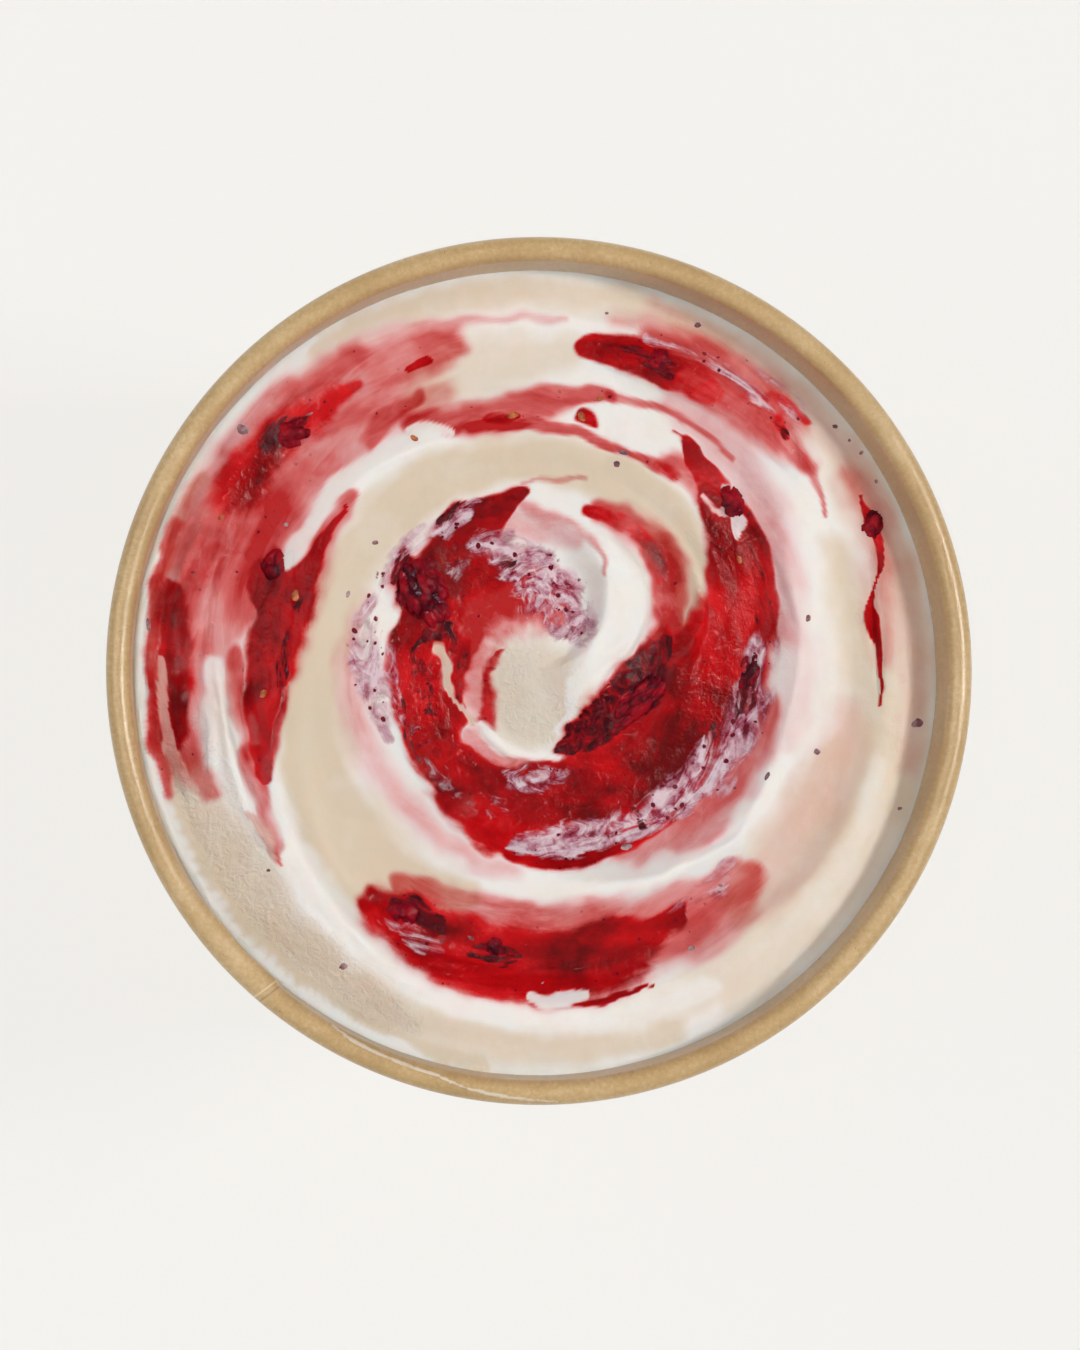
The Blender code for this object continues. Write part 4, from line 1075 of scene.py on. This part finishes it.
def traced(name, line):
    """A line of (radius, height) points in mm, drawn in the XZ plane by extruding a corner."""
    clear_selection()
    bpy.ops.mesh.primitive_plane_add(size=0.001, location=(line[0][0] * MM, 0, line[0][1] * MM))
    piece = named(name)
    bpy.ops.object.mode_set(mode="EDIT")
    bpy.ops.mesh.select_all(action="SELECT")
    bpy.ops.mesh.merge(type="CENTER")
    for (r0, z0), (r1, z1) in zip(line, line[1:]):
        bpy.ops.mesh.extrude_region_move(
            TRANSFORM_OT_translate={"value": ((r1 - r0) * MM, 0, (z1 - z0) * MM)}
        )
    bpy.ops.object.mode_set(mode="OBJECT")
    bpy.ops.object.transform_apply(location=True, rotation=True, scale=True)
    return piece


def apply(piece, kind, **settings):
    """Adds a modifier with these settings and applies it."""
    clear_selection()
    piece.select_set(True)
    bpy.context.view_layer.objects.active = piece
    made = piece.modifiers.new(kind.lower(), kind)
    for key, value in settings.items():
        setattr(made, key, value)
    bpy.ops.object.modifier_apply(modifier=made.name)


def turned_board(name, line, thickness, steps):
    """Board of one thickness, turned round the tub's axis along its middle line."""
    piece = traced(name, line)
    apply(piece, "SCREW", steps=steps, render_steps=steps, use_merge_vertices=True, merge_threshold=0.00002)
    outwards(piece)
    apply(piece, "SOLIDIFY", thickness=thickness, offset=0, use_even_offset=True)
    return piece


def wall_middle(z):
    return wall_inside(z) + BOARD / MM / 2


def on_bead(angle, radius, height):
    """How far a smear of cream covers each point of the rolled rim, from 0 to 1."""
    turn = np.array([knot[0] for knot in RIM_SMEAR])
    path = np.interp(angle, turn, [knot[1] for knot in RIM_SMEAR])
    half = np.interp(angle, turn, [knot[2] for knot in RIM_SMEAR])
    inside = (angle > turn[0]) & (angle < turn[-1]) & (height > HEIGHT / MM - BEAD / MM / 2)
    return inside * (1 - smoothstep(0.5, 1.3, np.abs(radius - path) / half))


def side_line():
    """Middle line of the side board in mm: round the bead, down the wall, and up in the fold."""
    board, lap_top = BOARD / MM, LAP_TOP / MM
    curl = BEAD / MM / 2 - board / 2
    line = []
    for angle in np.radians(np.linspace(*CURL_TURN, CURL_STEPS)):
        line.append((BEAD_CENTRE[0] + curl * math.cos(angle), BEAD_CENTRE[1] + curl * math.sin(angle)))
    upper = np.linspace(lap_top - 1.2, lap_top - 9, 12)
    lower = np.linspace(lap_top - 14, 3, 12)
    for z in (lap_top + 0.6, lap_top - 0.4, *upper, *lower, board / 2):
        line.append((wall_middle(z), z))
    fold_in = board + BASE_BOARD / MM + 2 * CLEARANCE / MM
    line.append((wall_middle(board / 2) - fold_in, board / 2))
    line.append((wall_middle(FOLD_HEIGHT / MM) - fold_in, FOLD_HEIGHT / MM))
    return line


def pressed(places, angle, radius, outer):
    """How far in mm each point of the side moves outwards: the lap's step, faint waves in the
    wall, and the inner layer that thickens a stretch of the bead."""
    height = places[:, 2]
    top, bead = HEIGHT / MM, BEAD / MM
    lapped = smoothstep(LAP_START - LAP_EDGE, LAP_START + LAP_EDGE, angle)
    lapped *= 1 - smoothstep(LAP_END - LAP_EDGE, LAP_END + LAP_EDGE, angle)
    step = LAP_STEP / MM * lapped * outer * (height < LAP_TOP / MM)
    below_bead = smoothstep(2, 10, height) * (1 - smoothstep(top - bead - 3, top - bead - 1, height))
    step += WAVE_DEPTH * rough(places / WAVE_LENGTH, 31) * below_bead
    strip = smoothstep(RIM_STRIP[0], RIM_STRIP[1], angle) * (angle < RIM_STRIP[2])
    inner_bead = (radius < BEAD_CENTRE[0]) & (height > top - bead)
    return step - STRIP_LIFT * strip * inner_bead * np.abs(radius - BEAD_CENTRE[0]) / (bead / 2)


def cream_on_board(places, angle, radius, outer):
    """How much cream clings to each point of the side, from 0 to 1: on the bead, and inside just
    over the cream."""
    height = places[:, 2]
    above = height - surface(places[:, 0], places[:, 1])
    wall = height < HEIGHT / MM - BEAD / MM
    licked = (~outer) * smoothstep(-2.0, -0.2, -above + 0.8 * rough(places / 5, 33)) * wall
    return np.maximum(on_bead(angle, radius, height), 0.6 * licked)


def tub_side():
    """The side: folded in round the base's skirt, and curled outwards over itself at the rim."""
    piece = turned_board("tub_side", side_line(), BOARD, SIDE_STEPS)
    places = corners(piece) / MM
    angle = np.degrees(np.arctan2(places[:, 1], places[:, 0])) % 360
    radius = np.hypot(places[:, 0], places[:, 1])
    outer = radius > wall_middle(places[:, 2])
    grow = (radius + pressed(places, angle, radius, outer)) / radius
    set_corners(piece, places * np.stack((grow, grow, np.ones_like(grow)), axis=1) * MM)
    trace = piece.data.attributes.new("trace", "FLOAT", "POINT")
    trace.data.foreach_set("value", cream_on_board(places, angle, radius, outer).astype(np.float32))
    smooth(piece, 50)
    return piece


def tub_bottom():
    """The raised base, whose skirt hangs in the fold of the side."""
    inset = (BOARD / 2 + CLEARANCE + BASE_BOARD / 2) / MM
    base, foot = BASE_HEIGHT / MM, SKIRT_FOOT / MM
    edge = wall_middle(base) - inset
    line = [(0, base), (edge * 0.5, base), (edge - 0.8, base), (edge - 0.2, base - 0.15)]
    line.extend(((edge, base - 0.7), (wall_middle(foot) - inset, foot)))
    piece = turned_board("tub_bottom", line, BASE_BOARD, BASE_STEPS)
    smooth(piece, 50)
    return piece


def even_points(count):
    """Places spread evenly over a unit ball along a golden spiral, one to a row."""
    step = np.arange(count)
    z = 1 - 2 * (step + 0.5) / count
    ring = np.sqrt(1 - z * z)
    turn = step * math.pi * (3 - math.sqrt(5))
    return np.stack((ring * np.cos(turn), ring * np.sin(turn), z), axis=1)


def drupelets(size, draw):
    """Where the drupelets of a berry lie on a unit ball, how far each reaches, and which are burst."""
    lobes = even_points(max(12, round(math.pi * size[0] * size[1] / DRUPELET_SIZE)))
    lobes += draw.normal(0, DRUPELET_DRIFT, lobes.shape)
    lobes /= np.linalg.norm(lobes, axis=1)[:, None]
    weight = draw.uniform(*DRUPELET_WEIGHT, len(lobes))
    burst = draw.uniform(size=len(lobes)) < BURST_SHARE
    return lobes, math.sqrt(4 * math.pi / len(lobes)) * DRUPELET_REACH * weight, burst


def berry(name, seed):
    """A torn berry: drupelets of uneven size pressed into one lump, some of them burst."""
    place, size, turn, proud, milky = BERRIES[name]
    draw = np.random.default_rng(seed)
    lobes, reach_of, burst = drupelets(size, draw)
    clear_selection()
    bpy.ops.mesh.primitive_ico_sphere_add(subdivisions=6 if size[0] > 8 else 5, radius=1)
    piece = named(name + "_torn")
    ball = corners(piece)
    away = np.linalg.norm(ball[:, None, :] - lobes, axis=2) / reach_of
    nearest = np.argmin(away, axis=1)
    off = away[np.arange(len(ball)), nearest]
    bead = np.sqrt(np.maximum(0, 1 - np.minimum(off, 1) ** 2))
    bead *= np.where(burst[nearest], BURST_SWELL, 1.0)
    torn = smoothstep(0.15, 0.6, rough(ball * 1.7, 40 + seed))
    crease = WHOLE_CREASE if name == "berry_heart" else TORN_CREASE
    swell = 1 - crease + crease * bead + 0.10 * rough(ball * 1.3, 50 + seed) - 0.20 * torn
    swell += 0.03 * rough(ball * 9, 60 + seed)
    local = ball * swell[:, None] * np.array(size) / 2
    lean = np.array(Euler((*BERRY_LEAN, math.radians(turn))).to_matrix())
    level = surface(np.array([place[0]]), np.array([place[1]]))[0]
    centre = np.array((*place, level + size[2] * (proud - 0.5)))
    set_corners(piece, (local @ lean.T + centre) * MM)
    # Each drupelet's own tone, darker where it is burst, and painted shade that darkens it towards the
    # creases between drupelets
    ripeness_and_crease_shade = 0.1 + 0.4 * draw.uniform(size=len(lobes))[nearest] + 0.4 * bead
    film = np.clip(milky + 0.1 - 0.9 * bead + 0.7 * rough(ball * 2.2, 70 + seed), 0, 1)
    for coat, values in (("ripeness_and_crease_shade", ripeness_and_crease_shade), ("film", film)):
        made = piece.data.attributes.new(coat, "FLOAT", "POINT")
        made.data.foreach_set("value", values.astype(np.float32))
    smooth(piece)
    return piece


def crumbs(name, entries, thickness, sunk, seed):
    """Small uneven lumps that lie in the cream's surface, joined into one piece."""
    draw = np.random.default_rng(seed)
    lumps = []
    for x, y, length, width, turn in entries:
        clear_selection()
        bpy.ops.mesh.primitive_ico_sphere_add(subdivisions=3, radius=1)
        lump = bpy.context.object
        lumps.append(lump)
        ball = corners(lump)
        uneven = 1 + 0.22 * rough(ball * 1.2, int(draw.integers(1, 90)))
        ball = ball * uneven[:, None] * np.array((length, width, thickness)) / 2
        a = math.radians(turn)
        across = ball[:, 0] * math.cos(a) - ball[:, 1] * math.sin(a) + x
        up = ball[:, 0] * math.sin(a) + ball[:, 1] * math.cos(a) + y
        level = surface(across, up)
        set_corners(lump, np.stack((across, up, level + ball[:, 2] - sunk), axis=1) * MM)
    clear_selection()
    for lump in lumps:
        lump.select_set(True)
    bpy.context.view_layer.objects.active = lumps[0]
    bpy.ops.object.join()
    piece = named(name)
    smooth(piece)
    return piece


def towards_lamp(azimuth, elevation):
    """The direction from the tub to a lamp, from its turn round +Z and its angle over the floor."""
    a, e = math.radians(azimuth), math.radians(elevation)
    return Vector((math.cos(a) * math.cos(e), math.sin(a) * math.cos(e), math.sin(e)))


def place_lamp(name, data, target, towards, distance):
    """Hangs a lamp at a distance from its target, in metres, and faces it that way."""
    lamp = bpy.data.objects.new(name, data)
    lamp.location = target + towards * distance
    lamp.rotation_euler = (-towards).to_track_quat("-Z", "Y").to_euler()
    bpy.context.scene.collection.objects.link(lamp)
    return lamp


def stage_light(name, azimuth, elevation, distance, size, watts, colour):
    """A soft square light that faces the top of the tub."""
    data = bpy.data.lights.new(name, "AREA")
    data.size = size
    data.energy = watts
    data.color = colour
    place_lamp(name, data, Vector((0, 0, HEIGHT)), towards_lamp(azimuth, elevation), distance)


def window_light(name, azimuth, elevation, distance, radius, watts, cone, middle, colour):
    """A soft lamp with its cone aimed beside the tub's axis, so that its light fades out across
    the cream."""
    data = bpy.data.lights.new(name, "SPOT")
    data.spot_size = math.radians(cone)
    data.spot_blend = 1.0
    data.shadow_soft_size = radius
    data.energy = watts
    data.color = colour
    return place_lamp(name, data, Vector((*middle, HEIGHT)), towards_lamp(azimuth, elevation), distance)


def lights():
    """A window at the right with a small hard glint, a lamp overhead, and two soft fills."""
    window_light(
        "window", azimuth=4, elevation=57, distance=0.9, radius=0.28, watts=208.0, cone=12.0,
        middle=(-0.080, 0.006), colour=(1.0, 0.985, 0.955),
    )
    overhead = window_light(
        "overhead", azimuth=180, elevation=82, distance=1.0, radius=0.30, watts=72.0, cone=14.0,
        middle=(-0.055, 0.0), colour=(1.0, 0.99, 0.97),
    )
    overhead.visible_glossy = False
    for name, azimuth, elevation, distance, size, watts, colour in (
        ("glint", 12, 50, 0.9, 0.018, 1.0, (1.0, 0.98, 0.95)),
        ("fill_left", 170, 55, 1.3, 0.8, 4.2, (0.97, 0.98, 1.0)),
        ("fill_front", 275, 48, 1.3, 1.0, 1.6, (1.0, 0.98, 0.96)),
    ):
        stage_light(name, azimuth, elevation, distance, size, watts, colour)


def studio():
    """A pale floor that shines a little of its own, the lights, and a faint pale room round them."""
    clear_selection()
    bpy.ops.mesh.primitive_plane_add(size=40)
    floor = named("floor")
    pale = Finish("pale_floor")
    pale.set(Base_Color=srgb(90, 89, 88), Roughness=0.9)
    pale.set(Emission_Color=srgb(244, 242, 238), Emission_Strength=0.885)
    use(floor, pale.material)
    lights()
    world = bpy.data.worlds.new("pale_room")
    world.use_nodes = True
    background = world.node_tree.nodes["Background"]
    background.inputs["Color"].default_value = (1.0, 0.98, 0.96, 1)
    background.inputs["Strength"].default_value = 0.18
    bpy.context.scene.world = world
    bpy.context.scene.view_settings.view_transform = "Standard"


def camera():
    """Nearly straight down, leaning a little so that more of the far right inner wall shows."""
    lean, side = math.radians(EYE_LEAN), math.radians(EYE_SIDE)
    back = Vector((math.cos(side) * math.sin(lean), math.sin(side) * math.sin(lean), math.cos(lean)))
    data = bpy.data.cameras.new("camera")
    data.sensor_width = SENSOR
    frame_height = PICTURE_HEIGHT / RIM_ACROSS * 2 * RIM_RADIUS
    data.lens = SENSOR / (frame_height / EYE_DISTANCE)
    data.shift_x = SHIFT_RIGHT / PICTURE_HEIGHT
    data.shift_y = SHIFT_UP / PICTURE_HEIGHT
    eye = bpy.data.objects.new("camera", data)
    eye.location = Vector((0, 0, HEIGHT)) + back * EYE_DISTANCE
    right = Vector((0, 1, 0)).cross(back).normalized()
    eye.rotation_euler = Matrix((right, back.cross(right), back)).transposed().to_euler()
    bpy.context.scene.collection.objects.link(eye)
    bpy.context.scene.camera = eye


def main():
    kraft, cream, flesh = kraft_board(), rippled_cream(), torn_berry()
    side = tub_side()
    use(side, kraft)
    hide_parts("tub_wall")
    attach(side, "root")
    bottom = tub_bottom()
    use(bottom, kraft)
    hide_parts("tub_base")
    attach(bottom, "root")
    plug = cream_swirl()
    add_coats(plug)
    smooth(plug, 60)
    use(plug, cream)
    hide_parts("ice_cream")
    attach(plug, "root")
    for name, (path, depth) in POOLS.items():
        film = ripple_pool(name + "_film", path, depth)
        add_coats(film)
        smooth(film, 60)
        use(film, cream)
        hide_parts(name)
        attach(film, "root")
    for seed, name in enumerate(BERRIES):
        fruit = berry(name, seed)
        use(fruit, flesh)
        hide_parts(name)
        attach(fruit, "root")
    flakes = crumbs("skin_flakes", FLAKES, 0.35, 0.08, 8)
    use(flakes, sunken_flake())
    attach(flakes, "root")
    seeds = crumbs("berry_seeds", SEEDS, 0.6, 0.05, 9)
    use(seeds, orange_seed())
    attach(seeds, "root")
    studio()
    camera()


main()
